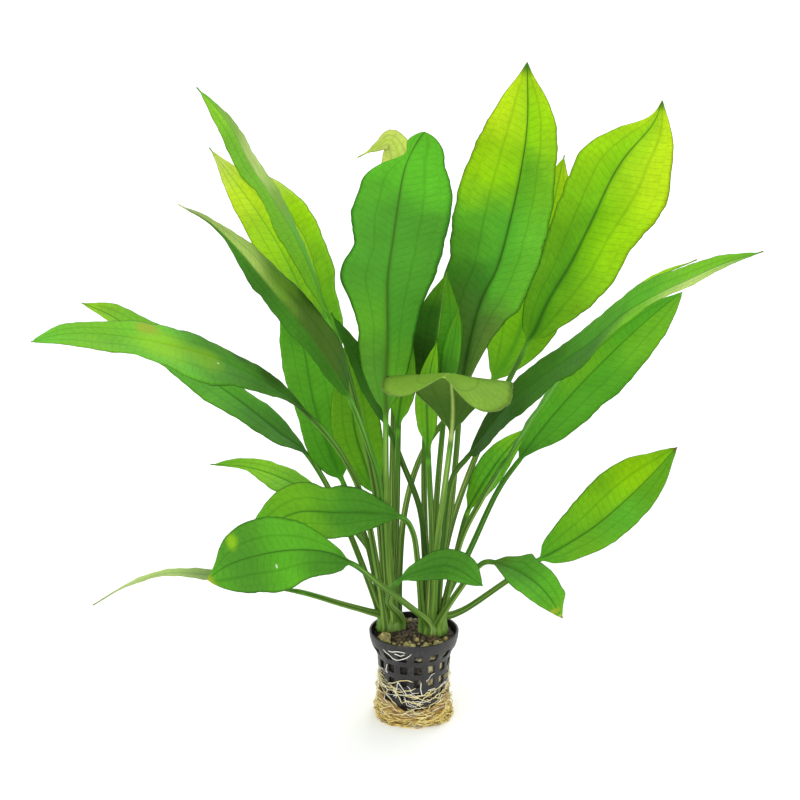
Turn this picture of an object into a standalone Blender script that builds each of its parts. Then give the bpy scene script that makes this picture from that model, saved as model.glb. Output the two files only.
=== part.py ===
"""A potted amazon sword plant: two rosettes of long leaves standing in a small net pot.

Every leaf is one piece with its stalk, as it grew. Metres, +Z up, resting on z = 0, and the
viewer's side is -Y. The sizes below are written in millimetres and turned into metres once.
"""
import math

import bmesh
import bpy
from mathutils import Vector

MM = 0.001
GAP = 0.3                    # daylight left between two pieces that touch

# The net pot, read as a profile of heights and outer radii from the foot to the rim.
POT_FLOOR_Z = 3.3            # underside of the pot, standing on its own roots
POT_FLOOR_THICKNESS = 1.2
POT_WALL = 1.2
POT_RIM_Z = 53.0
POT_PROFILE = (
    (POT_FLOOR_Z, 18.8),
    (40.0, 21.4),            # the basket's straight part ends here
    (46.4, 24.9),            # the collar begins
    (49.6, 25.7),
    (POT_RIM_Z, 26.0),
)
WINDOW_COLUMNS = 16
WINDOW_SHARE = 0.52          # part of each column's pitch that is open
WINDOW_ROWS = 4              # a fifth row would lie under the roots
WINDOW_PITCH = 8.35
WINDOW_HEIGHT = 4.8
WINDOW_TOP_Z = 46.4          # upper edge of the top row

# The block of growing medium in the pot.
MEDIUM_TOP_Z = 49.9
MEDIUM_STEPS = 24
MEDIUM_LUMP = 0.5            # how far its top rises and falls
MEDIUM_RINGS = (17.0, 9.0)   # radii of the rings of points on its top

# The roots felted round the foot of the pot.
ROOT_MAT_TOP_Z = 14.5        # the mean height of its upper edge
ROOT_MAT_SWEEP = 4.0         # its edge is this much higher at the sides, lower in front
ROOT_MAT_SOLE_RADIUS = 18.0
ROOT_MAT_HEEL = (20.9, 1.4)  # radius and height where the sole turns up
ROOT_MAT_BELLY = (22.1, 4.5)
ROOT_MAT_SHOULDER_RADIUS = 21.5
ROOT_MAT_LIP = 3.0           # the shoulder lies this far under the upper edge
ROOT_MAT_LUMP = 0.55
ROOT_MAT_STEPS = 24

# The two crowns that the leaves grow from.
CROWN_TOP_Z = 54.0
CROWN_HEIGHT = 3.2
CROWN_RADIUS = 8.7
CROWN_FOOT_RADIUS = 7.4
CROWN_EDGE = (0.2, 1.0)      # how far its upper edge is drawn in, and how far down that starts
CROWN_STEPS = 16
CROWN_RING_SPACING = 3.5     # stalks stand in rings this far apart
LEFT_CROWN = (-12.5, 5.0)
RIGHT_CROWN = (10.0, 0.0)

# What all leaves share.
STALK_START_Z = CROWN_TOP_Z + GAP * 1.5
STALK_RISE = 9.0             # the stalk leaves its crown upright for this far
STALK_BASE_RADIUS = 1.4
STALK_END_RADIUS = 1.25
MIDRIB_TIP_RADIUS = 0.40
BLADE_HALF_THICKNESS = 0.42
TIP_DRAW = 0.4               # how much the last of a blade is drawn out to a point
LAST_RING_AT = 0.97          # share of the blade where its last ring stands
SECTION_POINTS = 8
BLADE_RINGS = 9
CURVE_SAMPLES = 24           # fine steps between two points of a path


def spline(points):
    """Return a smooth curve through the points, as fine steps."""
    ends = [points[0] * 2 - points[1]] + points + [points[-1] * 2 - points[-2]]
    curve = []
    for i in range(1, len(ends) - 2):
        before, start, end, after = ends[i - 1], ends[i], ends[i + 1], ends[i + 2]
        for k in range(CURVE_SAMPLES):
            t = k / CURVE_SAMPLES
            curve.append(0.5 * (2 * start + (end - before) * t
                                + (2 * before - 5 * start + 4 * end - after) * t * t
                                + (3 * start - before - 3 * end + after) * t * t * t))
    curve.append(points[-1])
    return curve


def lengths_along(curve):
    """Return how far along the curve each of its steps is."""
    total = [0.0]
    for a, b in zip(curve, curve[1:]):
        total.append(total[-1] + (b - a).length)
    return total


def at_length(curve, lengths, distance):
    """Return the point and the direction of the curve at a distance along it."""
    distance = min(max(distance, 0.0), lengths[-1])
    k = 1
    while k < len(lengths) - 1 and lengths[k] < distance:
        k += 1
    share = (distance - lengths[k - 1]) / (lengths[k] - lengths[k - 1])
    point = curve[k - 1].lerp(curve[k], share)
    low = max(k - 3, 0)
    high = min(k + 2, len(curve) - 1)
    return point, (curve[high] - curve[low]).normalized()


def blend(vectors, share):
    """Return the direction a share of the way along an evenly spread list of directions."""
    if len(vectors) == 1:
        return vectors[0]
    place = min(max(share, 0.0), 1.0) * (len(vectors) - 1)
    k = min(int(place), len(vectors) - 2)
    return vectors[k].lerp(vectors[k + 1], place - k)


def blade_width(share, widest_at, fullness):
    """Return the width of a blade, as a share of its greatest, at a share of its length."""
    if share <= 0.0 or share >= 1.0:
        return 0.0
    p = fullness * widest_at
    q = fullness * (1.0 - widest_at)
    top = widest_at ** p * (1.0 - widest_at) ** q
    drawn_out = 1.0 - TIP_DRAW * share ** 10
    return share ** p * (1.0 - share) ** q / top * drawn_out


def leaf(name, crown, ring, azimuth, stalk, blade, width, faces, **shape):
    """Gather one leaf: its crown, its place there, and the points that it passes through."""
    angle = math.radians(azimuth)
    reach = ring * CROWN_RING_SPACING
    x = crown[0] + reach * math.cos(angle)
    y = crown[1] + reach * math.sin(angle)
    base = [Vector((x, y, STALK_START_Z)), Vector((x, y, STALK_START_Z + STALK_RISE))]
    spec = {
        "name": name,
        "stalk": base + [Vector(p) for p in stalk],
        "blade": [Vector(p) for p in blade],
        "width": width,
        "faces": [Vector(f).normalized() for f in faces],
        "fold": 0.15,
        "tip_fold": None,
        "widest_at": 0.48,
        "fullness": 2.1,
        "stalk_radius": STALK_BASE_RADIUS,
    }
    spec.update(shape)
    if spec["tip_fold"] is None:
        spec["tip_fold"] = spec["fold"]
    return spec


# Azimuths are in degrees from +X, turning towards +Y. Each blade starts where its list starts,
# and the faces are the directions that its upper side looks in, from its base to its tip.
LEAVES = [
    leaf("leaf_tall", RIGHT_CROWN, 1, 60,
         [(20, 10, 113), (24, 14, 155)],
         [(27, 17, 194), (34, 20, 243), (43, 22, 267), (49, 25, 292), (55, 27, 320),
          (60, 29, 348), (62, 30, 381)],
         56, [(-0.3, -0.95, 0.2)], widest_at=0.52, fullness=1.45),
    leaf("leaf_upper_right", RIGHT_CROWN, 2, 80,
         [(22, 18, 112), (38, 30, 155), (53, 42, 187)],
         [(65, 50, 210), (76, 60, 233), (93, 70, 254), (111, 79, 280), (128, 88, 307),
          (140, 95, 328), (144, 100, 343)],
         56, [(-0.3, -0.8, 0.5), (-0.35, -0.85, 0.4)], widest_at=0.56, fullness=1.5),
    leaf("leaf_broad_front", LEFT_CROWN, 1.2, 283,
         [(-15, -11, 114), (-16, -15, 150)],
         [(-16, -19, 190), (-15, -21, 242), (-13, -23, 272), (-9, -24, 295), (-5, -27, 318),
          (-1, -31, 338), (5, -37, 358)],
         57, [(-0.15, 1, 0.05)], stalk_radius=1.9, widest_at=0.6, fullness=1.5),
    leaf("leaf_back_centre", LEFT_CROWN, 1, 90,
         [(-13, 24, 112), (-12, 42, 166)],
         [(-11, 56, 210), (-10, 66, 247), (-9, 76, 279), (-8, 86, 308), (-13, 92, 321),
          (-22, 95, 316), (-33, 95, 310)],
         44, [(-0.3, -0.9, 0.3), (-0.45, -0.8, 0.4)], widest_at=0.4, fullness=2.4),
    leaf("leaf_upper_left", LEFT_CROWN, 1, 180,
         [(-22, 1, 136), (-36, -5, 207)],
         [(-46, -9, 242), (-62, -20, 288), (-75, -27, 315), (-88, -34, 339), (-99, -40, 363),
          (-115, -45, 384)],
         44, [(0.94, -0.05, 0.35), (0.89, -0.15, 0.45), (0.8, -0.25, 0.55)], fold=-0.1),
    leaf("leaf_left_yellow", LEFT_CROWN, 2, 112,
         [(-22, 32, 122), (-37, 43, 174)],
         [(-52, 50, 212), (-73, 60, 257), (-88, 68, 281), (-104, 75, 302), (-118, 80, 320)],
         42, [(0.67, -0.5, 0.55)], fold=0.1),
    leaf("leaf_left_back", LEFT_CROWN, 2, 87,
         [(-17, 42, 122), (-33, 64, 170)],
         [(-45, 76, 192), (-60, 88, 222), (-72, 97, 249), (-84, 104, 276), (-96, 110, 300)],
         46, [(0.55, -0.7, 0.5)], fold=0.1, fullness=1.6),
    leaf("leaf_left_folded", LEFT_CROWN, 1, 228,
         [(-19, -15, 142), (-26, -23, 176)],
         [(-36, -30, 206), (-43, -35, 224), (-56, -41, 248), (-73, -48, 273), (-90, -55, 297),
          (-108, -61, 315), (-125, -65, 326)],
         39, [(0.9, -0.35, 0.3), (0.8, -0.25, 0.5), (0.6, -0.05, 0.8)], fold=-0.15,
         widest_at=0.4, fullness=1.8),
    leaf("leaf_left_hanging", LEFT_CROWN, 2, 160,
         [(-26, 20, 94), (-35, 30, 117)],
         [(-42, 36, 132), (-49, 42, 148), (-58, 48, 174), (-64, 56, 205), (-72, 62, 234),
          (-84, 66, 260)],
         46, [(0.65, -0.65, 0.35)], fullness=1.4),
    leaf("leaf_far_left", LEFT_CROWN, 2, 232,
         [(-27, -8, 128), (-39, -21, 166)],
         [(-56, -38, 196), (-72, -48, 215), (-89, -58, 229), (-112, -68, 241), (-135, -76, 250),
          (-161, -82, 256), (-183, -87, 259), (-202, -90, 258)],
         45, [(0.7, -0.2, 0.65), (-0.1, -0.15, 1)], fold=0.1, fullness=1.8, widest_at=0.56),
    leaf("leaf_far_left_lower", LEFT_CROWN, 2, 184,
         [(-41, 16, 116)],
         [(-61, 32, 148), (-79, 39, 161), (-101, 46, 177), (-124, 52, 192), (-153, 57, 210),
          (-175, 60, 224), (-193, 62, 232)],
         44, [(0.5, -0.25, 0.8), (0.35, -0.25, 0.9)], fold=0.1, fullness=1.6),
    leaf("leaf_low_left_back", LEFT_CROWN, 2, 136,
         [(-24, 30, 86)],
         [(-41, 46, 103), (-55, 54, 112), (-76, 64, 121), (-98, 74, 125), (-122, 80, 125)],
         30, [(0.3, -0.25, 0.9)], fold=0.1),
    leaf("leaf_low_left", RIGHT_CROWN, 2, 222,
         [(2, -12, 100), (-1, -17, 121)],
         [(-8, -22, 132), (-26, -28, 137), (-44, -33, 139), (-64, -40, 142), (-80, -47, 137),
          (-93, -52, 129)],
         38, [(0.35, -0.5, 0.8), (-0.15, -0.65, 0.75)], fullness=1.4),
    leaf("leaf_low_left_front", RIGHT_CROWN, 2, 252,
         [(-3, -26, 79), (-22, -43, 102)],
         [(-35, -54, 117), (-52, -64, 126), (-71, -76, 131), (-92, -88, 133), (-112, -96, 125)],
         43, [(0.5, -0.6, 0.6), (0.1, -0.8, 0.6)], widest_at=0.56, fullness=1.6),
    leaf("leaf_trailing", LEFT_CROWN, 2, 208,
         [(-27, 1, 64), (-42, 0, 69)],
         [(-64, 0, 76), (-95, 0, 83), (-120, 0, 87), (-143, 0, 88), (-167, 0, 80),
          (-186, 0, 68)],
         28, [(0.05, 0.2, 0.95)], fold=0.05),
    leaf("leaf_curled_front", RIGHT_CROWN, 1, 290,
         [(13, -16, 112), (16, -26, 144)],
         [(20, -33, 182), (21, -36, 202), (20, -42, 218), (19, -54, 228), (17, -70, 233),
          (15, -86, 237)],
         72, [(0, 1, 0.2), (0.06, 0.6, 0.9), (0.14, -0.1, 1)], fold=0.05, tip_fold=-1.1,
         widest_at=0.72, fullness=2.0),
    leaf("leaf_small_front", LEFT_CROWN, 2, 312,
         [(-15, -20, 80)],
         [(-9, -28, 95), (3, -36, 105), (20, -46, 112), (38, -58, 105)],
         23, [(-0.5, -0.5, 0.65), (0.1, -0.6, 0.8)], fullness=1.5),
    leaf("leaf_low_right_front", RIGHT_CROWN, 2, 308,
         [(26, -18, 86), (35, -28, 103)],
         [(43, -35, 110), (59, -48, 109), (72, -58, 102), (82, -66, 89)],
         26, [(0.1, -0.45, 0.9), (0.3, -0.4, 0.85)], fullness=1.5),
    leaf("leaf_low_right", RIGHT_CROWN, 2, 0,
         [(23, 1, 62), (33, 2, 67), (54, 6, 81)],
         [(72, 10, 92), (88, 14, 100), (106, 20, 110), (125, 26, 125), (140, 31, 139),
          (153, 35, 153)],
         44, [(-0.45, -0.45, 0.75)], fullness=1.7),
    leaf("leaf_right_broad", RIGHT_CROWN, 2, 52,
         [(32, 22, 92), (48, 34, 124)],
         [(61, 40, 142), (78, 48, 160), (97, 58, 177), (120, 68, 198), (142, 78, 218),
          (158, 84, 232)],
         50, [(-0.5, -0.5, 0.7), (-0.5, -0.45, 0.75)], fullness=1.6),
    leaf("leaf_far_right", RIGHT_CROWN, 1, 342,
         [(17, -3, 110), (21, -8, 148)],
         [(30, -14, 165), (37, -18, 177), (50, -28, 199), (63, -36, 215), (80, -46, 232),
          (95, -56, 247), (110, -66, 265), (126, -76, 279), (143, -86, 291), (160, -94, 302),
          (179, -102, 311)],
         48, [(-0.89, -0.25, 0.4), (-0.8, -0.1, 0.6), (-0.5, -0.15, 0.85)], fullness=1.7,
         widest_at=0.42),
    leaf("leaf_right_edge", RIGHT_CROWN, 2, 334,
         [(26, 0, 106), (38, 2, 132)],
         [(49, 2, 152), (63, 0, 176), (89, -8, 220), (113, -14, 252), (135, -19, 273),
          (154, -22, 283)],
         38, [(-0.75, 0.15, 0.6)]),
    leaf("leaf_small_right", RIGHT_CROWN, 2, 26,
         [(26, 12, 102)],
         [(31, 18, 119), (39, 22, 134), (51, 26, 151), (65, 30, 166)],
         20, [(-0.5, -0.65, 0.55)], fullness=1.6),
    leaf("leaf_back_right", LEFT_CROWN, 2, 62,
         [(-6, 21, 114), (5, 38, 148), (24, 56, 168)],
         [(45, 72, 179), (61, 90, 200), (71, 105, 232), (81, 114, 268), (89, 118, 306)],
         56, [(-0.2, -0.6, 0.8), (-0.4, -0.8, 0.45)]),
    leaf("leaf_back_narrow", RIGHT_CROWN, 1, 120,
         [(6, 19, 122), (6, 18, 160)],
         [(8, 16, 189), (10, 14, 207), (13, 10, 226), (15, 9, 245), (18, 8, 267)],
         30, [(-0.2, -0.95, 0.2)]),
    leaf("leaf_young", RIGHT_CROWN, 0, 0,
         [(12, -1, 122)],
         [(17, 0, 188), (20, 2, 214), (23, 3, 234), (25, 3, 250)],
         11, [(-0.35, -0.95, 0.1)]),
    leaf("leaf_dark_narrow", RIGHT_CROWN, 1, 180,
         [(6, 4, 100), (3, 8, 126), (-7, 8, 154)],
         [(-13, 8, 170), (-24, 8, 196), (-35, 10, 220), (-47, 12, 242)],
         18, [(0.8, -0.5, 0.4)]),
    leaf("leaf_left_inner", LEFT_CROWN, 1.16, 135,
         [(-19, 15, 98)],
         [(-21, 24, 124), (-27, 28, 141), (-34, 31, 164), (-37, 34, 190), (-40, 37, 216)],
         34, [(0.54, -0.8, 0.3)]),
    leaf("leaf_small_centre", LEFT_CROWN, 0, 0,
         [(-10, 6, 122)],
         [(-9, 4, 175), (-8, 4, 190), (-6, 3, 206), (-4, 2, 219), (-1, 0, 232)],
         17, [(-0.4, -0.9, 0.2)]),
    leaf("leaf_small_pale", RIGHT_CROWN, 1, 238,
         [(10, -8, 112)],
         [(8, -9, 162), (7, -8, 197), (9, -6, 214), (13, -4, 232)],
         14, [(-0.4, -0.9, 0.2)]),
]


def frames_along(spec):
    """Return the rings of one leaf: centre, side, upward direction, half width and radius."""
    path = spline(spec["stalk"] + spec["blade"])
    lengths = lengths_along(path)
    stalk_end = lengths[len(spec["stalk"]) * CURVE_SAMPLES]
    blade_length = lengths[-1] - stalk_end

    distances = [lengths[i * CURVE_SAMPLES] for i in range(len(spec["stalk"]))]
    shares = [i / (BLADE_RINGS + 1) for i in range(BLADE_RINGS + 1)] + [LAST_RING_AT]
    distances += [stalk_end + blade_length * share for share in shares]

    rings = []
    for distance in distances:
        centre, along = at_length(path, lengths, distance)
        share = (distance - stalk_end) / blade_length
        side = along.cross(blend(spec["faces"], share)).normalized()
        width = spec["width"] * blade_width(share, spec["widest_at"], spec["fullness"])
        if share < 0.0:
            part = distance / stalk_end
            radius = spec["stalk_radius"] * (1 - part) + STALK_END_RADIUS * part
        else:
            radius = STALK_END_RADIUS * (1 - share) + MIDRIB_TIP_RADIUS * share
        rings.append([centre, along, side, width / 2, radius, share])

    for ring, after in reversed(list(zip(rings, rings[1:]))):
        if ring[5] < 0.0:
            side = after[2] - ring[1] * after[2].dot(ring[1])
            ring[2] = side.normalized()
        elif ring[2].dot(after[2]) < 0.0:
            ring[2] = -ring[2]
    return rings, path[-1]


def leaf_mesh(spec):
    """Build one leaf: a round stalk that flattens into a thin blade with a midrib."""
    rings, tip = frames_along(spec)
    mesh = bmesh.new()
    loops = []
    for centre, along, side, half_width, radius, share in rings:
        up = side.cross(along)
        flat = min(max((half_width - radius) / (3 * radius), 0.0), 1.0)
        late = max(share, 0.0) ** 4
        fold = spec["fold"] * (1 - late) + spec["tip_fold"] * late
        reach = max(half_width, radius)
        loop = []
        for k in range(SECTION_POINTS):
            angle = 2 * math.pi * k / SECTION_POINTS
            across = math.cos(angle)
            edge = abs(across)
            round_up = radius * math.sin(angle)
            if k in (2, 6):
                thin_up = radius * math.sin(angle)
            else:
                thin_up = BLADE_HALF_THICKNESS * math.sin(angle) / math.sin(math.pi / 4)
            blade_across = round(across * 2) / 2 if edge > 0.1 else 0.0
            lateral = (across * (1 - flat) + blade_across * flat) * reach
            lift = round_up * (1 - flat) + thin_up * flat
            lift += fold * abs(lateral) * flat
            loop.append(mesh.verts.new((centre + side * lateral + up * lift) * MM))
        loops.append(loop)
    point = mesh.verts.new(tip * MM)
    for a, b in zip(loops, loops[1:]):
        for k in range(SECTION_POINTS):
            n = (k + 1) % SECTION_POINTS
            mesh.faces.new((a[k], b[k], b[n], a[n]))
    for k in range(SECTION_POINTS):
        mesh.faces.new((loops[-1][k], point, loops[-1][(k + 1) % SECTION_POINTS]))
    mesh.faces.new(loops[0])
    return mesh


def finish_object(name, mesh, material, smooth_degrees=40):
    """Turn a mesh into a named object with its faces out and its round parts smooth."""
    bmesh.ops.triangulate(mesh, faces=mesh.faces)
    bmesh.ops.recalc_face_normals(mesh, faces=mesh.faces)
    for edge in mesh.edges:
        edge.smooth = edge.calc_face_angle(0.0) < math.radians(smooth_degrees)
    for face in mesh.faces:
        face.smooth = True
    data = bpy.data.meshes.new(name)
    mesh.to_mesh(data)
    mesh.free()
    data.materials.append(material)
    item = bpy.data.objects.new(name, data)
    bpy.context.scene.collection.objects.link(item)
    return item


def make_material(name, colour, roughness):
    """Return a plain material of one colour."""
    material = bpy.data.materials.new(name)
    material.use_nodes = True
    shader = material.node_tree.nodes["Principled BSDF"]
    shader.inputs["Base Color"].default_value = (*colour, 1.0)
    shader.inputs["Roughness"].default_value = roughness
    material.diffuse_color = (*colour, 1.0)
    return material


def lathe(mesh, profile, steps, lumps=None):
    """Turn a profile of (radius, height) points round Z; radius 0 closes it with one point."""
    loops = []
    for index, (radius, height) in enumerate(profile):
        if radius == 0.0:
            loops.append([mesh.verts.new((0, 0, height * MM))])
            continue
        loop = []
        for k in range(steps):
            angle = 2 * math.pi * k / steps
            out, lift = lumps(index, angle) if lumps else (0.0, 0.0)
            r = radius + out
            x = r * math.cos(angle) * MM
            y = r * math.sin(angle) * MM
            loop.append(mesh.verts.new((x, y, (height + lift) * MM)))
        loops.append(loop)
    for a, b in zip(loops, loops[1:]):
        for k in range(steps):
            n = (k + 1) % steps
            if len(a) == 1:
                mesh.faces.new((a[0], b[n], b[k]))
            elif len(b) == 1:
                mesh.faces.new((a[k], a[n], b[0]))
            else:
                mesh.faces.new((a[k], a[n], b[n], b[k]))
    return loops


def pot_radius(z):
    """Return the outer radius of the pot at a height, straight between its profile's points."""
    for (low_z, low_radius), (high_z, high_radius) in zip(POT_PROFILE, POT_PROFILE[1:]):
        if z <= high_z:
            share = (z - low_z) / (high_z - low_z)
            return low_radius + (high_radius - low_radius) * share
    return POT_PROFILE[-1][1]


def pot_mesh():
    """Build the net pot: a tapered basket with rows of windows, under a solid collar."""
    mesh = bmesh.new()
    steps = WINDOW_COLUMNS * 2
    pitch = 2 * math.pi / WINDOW_COLUMNS
    angles = []
    for column in range(WINDOW_COLUMNS):
        start = column * pitch
        angles += [start, start + pitch * WINDOW_SHARE]

    levels = []
    open_below = []
    for row in range(WINDOW_ROWS):
        top = WINDOW_TOP_Z - row * WINDOW_PITCH
        levels += [top, top - WINDOW_HEIGHT]
        open_below += [True, False]
    levels.append(POT_FLOOR_Z + POT_FLOOR_THICKNESS)
    open_below.append(False)

    def ring(radius, z):
        return [mesh.verts.new((radius * math.cos(a) * MM, radius * math.sin(a) * MM, z * MM))
                for a in angles]

    outer = [ring(pot_radius(z), z) for z in levels]
    inner = [ring(pot_radius(z) - POT_WALL, z) for z in levels]
    for i in range(len(levels) - 1):
        for k in range(steps):
            n = (k + 1) % steps
            window = open_below[i] and k % 2 == 0
            if not window:
                mesh.faces.new((outer[i][k], outer[i + 1][k], outer[i + 1][n], outer[i][n]))
                mesh.faces.new((inner[i][k], inner[i][n], inner[i + 1][n], inner[i + 1][k]))
                continue
            for a, b in ((k, n), (n, k)):
                mesh.faces.new((outer[i][a], inner[i][a], inner[i + 1][a], outer[i + 1][a]))
            for level in (i, i + 1):
                mesh.faces.new((outer[level][k], outer[level][n],
                                inner[level][n], inner[level][k]))

    collar = [(z, radius) for z, radius in POT_PROFILE if z > WINDOW_TOP_Z]
    rings = [outer[0]] + [ring(radius, z) for z, radius in collar]
    rings += [ring(radius - POT_WALL, z) for z, radius in reversed(collar)] + [inner[0]]
    bottom = ring(pot_radius(POT_FLOOR_Z), POT_FLOOR_Z)
    for a, b in list(zip(rings, rings[1:])) + [(bottom, outer[-1])]:
        for k in range(steps):
            n = (k + 1) % steps
            mesh.faces.new((a[k], a[n], b[n], b[k]))
    mesh.faces.new(bottom)
    mesh.faces.new(inner[-1])
    return mesh


def medium_mesh():
    """Build the block of growing medium that fills the pot up to just below its rim."""
    mesh = bmesh.new()
    clear = POT_WALL + GAP
    bottom = POT_FLOOR_Z + POT_FLOOR_THICKNESS + GAP
    sides = [(pot_radius(bottom) - clear, bottom)]
    for z, radius in POT_PROFILE:
        if bottom < z < MEDIUM_TOP_Z - GAP:
            sides.append((radius - clear, z))
    first_top = len(sides) + 1

    def lumps(index, angle):
        if index < first_top:
            return 0.0, 0.0
        wave = math.sin(3 * angle + index) + math.sin(5 * angle + 2 * index)
        return 0.0, wave * MEDIUM_LUMP / 2

    top_z = MEDIUM_TOP_Z
    top = [(pot_radius(top_z) - clear, top_z)] + [(radius, top_z) for radius in MEDIUM_RINGS]
    lathe(mesh, [(0.0, bottom)] + sides + top + [(0.0, top_z)], MEDIUM_STEPS, lumps)
    return mesh


def root_mat_mesh():
    """Build the felt of roots as a lumpy cup round the foot of the pot, flat underneath."""
    mesh = bmesh.new()
    foot_inner = pot_radius(POT_FLOOR_Z) + GAP
    lip_radius = pot_radius(ROOT_MAT_TOP_Z + ROOT_MAT_SWEEP) + 2 * GAP
    floor = POT_FLOOR_Z - GAP
    profile = [
        (0.0, 0.0),
        (ROOT_MAT_SOLE_RADIUS, 0.0),
        ROOT_MAT_HEEL,
        ROOT_MAT_BELLY,
        (ROOT_MAT_SHOULDER_RADIUS, ROOT_MAT_TOP_Z - ROOT_MAT_LIP),
        (lip_radius, ROOT_MAT_TOP_Z),
        (foot_inner, floor),
        (0.0, floor),
    ]
    heel, belly, shoulder, lip = 2, 3, 4, 5

    def lumps(index, angle):
        out = 0.0
        if index in (heel, belly, shoulder):
            wave = math.sin(3 * angle + 0.8 * index) + math.sin(7 * angle - index)
            out = wave * ROOT_MAT_LUMP / 2
        lift = 0.0
        if index in (shoulder, lip):
            lift = ROOT_MAT_SWEEP * math.cos(2 * angle) + math.sin(5 * angle) / 2
        return out, lift

    lathe(mesh, profile, ROOT_MAT_STEPS, lumps)
    return mesh


def crown_mesh(centre):
    """Build one crown: the short thick stem that a rosette of stalks grows from."""
    mesh = bmesh.new()
    bottom = CROWN_TOP_Z - CROWN_HEIGHT
    profile = [
        (0.0, bottom),
        (CROWN_FOOT_RADIUS, bottom),
        (CROWN_RADIUS, CROWN_TOP_Z - CROWN_EDGE[1]),
        (CROWN_RADIUS - CROWN_EDGE[0], CROWN_TOP_Z),
        (0.0, CROWN_TOP_Z),
    ]
    lathe(mesh, profile, CROWN_STEPS)
    bmesh.ops.translate(mesh, verts=mesh.verts, vec=(centre[0] * MM, centre[1] * MM, 0.0))
    return mesh


def main():
    for item in list(bpy.data.objects):
        bpy.data.objects.remove(item, do_unlink=True)
    leaf_green = make_material("leaf_green", (0.13, 0.27, 0.03), 0.45)
    plastic = make_material("pot_plastic", (0.012, 0.012, 0.012), 0.4)
    medium = make_material("growing_medium", (0.09, 0.06, 0.03), 0.9)
    roots = make_material("root_felt", (0.50, 0.38, 0.16), 0.8)
    crown = make_material("crown_stem", (0.30, 0.26, 0.10), 0.6)

    finish_object("net_pot", pot_mesh(), plastic, 30)
    finish_object("growing_medium", medium_mesh(), medium)
    finish_object("root_mat", root_mat_mesh(), roots)
    finish_object("crown_left", crown_mesh(LEFT_CROWN), crown)
    finish_object("crown_right", crown_mesh(RIGHT_CROWN), crown)
    for spec in LEAVES:
        finish_object(spec["name"], leaf_mesh(spec), leaf_green)


main()
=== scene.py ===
# %% [markdown]
# # A potted amazon sword plant
#
# The plant is a water plant that was grown in a nursery's net pot. Thirty long leaves stand on
# two short crowns. Each leaf is one piece with its stalk, because it grew as one. The pot holds
# a dark growing medium, and the roots have come through its windows and felted round its foot.
#
# We build it in the order that light meets it in the picture: the leaves, then their crowns,
# then the pot and what is in and under it. Every finish is a node tree of its own.

import math
from types import SimpleNamespace

import bmesh
import bpy
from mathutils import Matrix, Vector


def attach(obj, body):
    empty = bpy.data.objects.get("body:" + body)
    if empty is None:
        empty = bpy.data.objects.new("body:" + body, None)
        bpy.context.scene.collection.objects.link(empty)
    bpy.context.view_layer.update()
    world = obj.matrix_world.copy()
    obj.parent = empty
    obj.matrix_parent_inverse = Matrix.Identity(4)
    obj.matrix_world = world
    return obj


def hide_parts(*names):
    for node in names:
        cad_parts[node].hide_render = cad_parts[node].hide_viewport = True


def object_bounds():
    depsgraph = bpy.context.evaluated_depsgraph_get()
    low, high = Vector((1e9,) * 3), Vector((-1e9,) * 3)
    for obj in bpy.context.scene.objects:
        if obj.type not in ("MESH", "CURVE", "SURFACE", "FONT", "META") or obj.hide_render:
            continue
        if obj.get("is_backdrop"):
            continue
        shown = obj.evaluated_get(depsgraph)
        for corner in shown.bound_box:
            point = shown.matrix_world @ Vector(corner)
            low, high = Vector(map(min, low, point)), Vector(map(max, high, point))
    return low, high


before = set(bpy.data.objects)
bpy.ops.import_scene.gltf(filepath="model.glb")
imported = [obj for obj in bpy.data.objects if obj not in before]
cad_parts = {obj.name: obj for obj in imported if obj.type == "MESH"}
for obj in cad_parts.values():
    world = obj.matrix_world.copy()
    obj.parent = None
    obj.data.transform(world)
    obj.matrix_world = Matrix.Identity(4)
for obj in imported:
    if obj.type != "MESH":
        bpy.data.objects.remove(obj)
cad_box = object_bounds()
MM = 0.001
print("the solids' box in mm:", [[round(v / MM, 1) for v in corner] for corner in cad_box])

# %% [markdown]
# ## Camera
#
# The picture was taken from about a metre and a half, a little above the plant: we look into
# the pot's mouth as a narrow ellipse. A long lens keeps the leaves that come towards us from
# swelling. The tilt below is the one that gives the rim's ellipse its height in the picture, and
# the place follows from that tilt, the distance and where the pot stands in the picture.

# %% Place the camera
CAMERA_PLACE = (-0.0081, -1.4605, 0.7083)
CAMERA_TILT = 19.4           # degrees below the horizon
CAMERA_LENS = 123.7          # millimetres, on a sensor 36 mm wide

scene = bpy.context.scene
camera_data = bpy.data.cameras.new("camera")
camera_data.lens = CAMERA_LENS
camera_data.sensor_width = 36.0
camera = bpy.data.objects.new("camera", camera_data)
camera.location = CAMERA_PLACE
camera.rotation_euler = (math.radians(90.0 - CAMERA_TILT), 0.0, 0.0)
scene.collection.objects.link(camera)
scene.camera = camera
scene.view_settings.view_transform = "Standard"
print("camera at", CAMERA_PLACE)

# %% [markdown]
# ## Light and floor
#
# A leaf is thin, so half of its look is light that comes through it. Two big soft lamps do
# this: one above and in front gives the sheen, one above and behind makes the upper leaves
# glow. The white sky fills the shadows, and the pale floor throws light up under the leaves.

# %% Light the plant
LAMP_SIZE = 0.9              # metres
LAMP_WATTS = 8.0
SKY_STRENGTH = 1.2


def soft_lamp(name, place, target):
    """Add a square area lamp that looks at a target."""
    data = bpy.data.lights.new(name, "AREA")
    data.size = LAMP_SIZE
    data.energy = LAMP_WATTS
    lamp = bpy.data.objects.new(name, data)
    lamp.location = place
    lamp.rotation_euler = (Vector(target) - Vector(place)).to_track_quat("-Z", "Y").to_euler()
    scene.collection.objects.link(lamp)


soft_lamp("front_lamp", (-0.7, -1.3, 1.5), (0.0, 0.0, 0.2))
soft_lamp("back_lamp", (0.5, 1.1, 1.3), (0.0, 0.0, 0.25))

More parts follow.
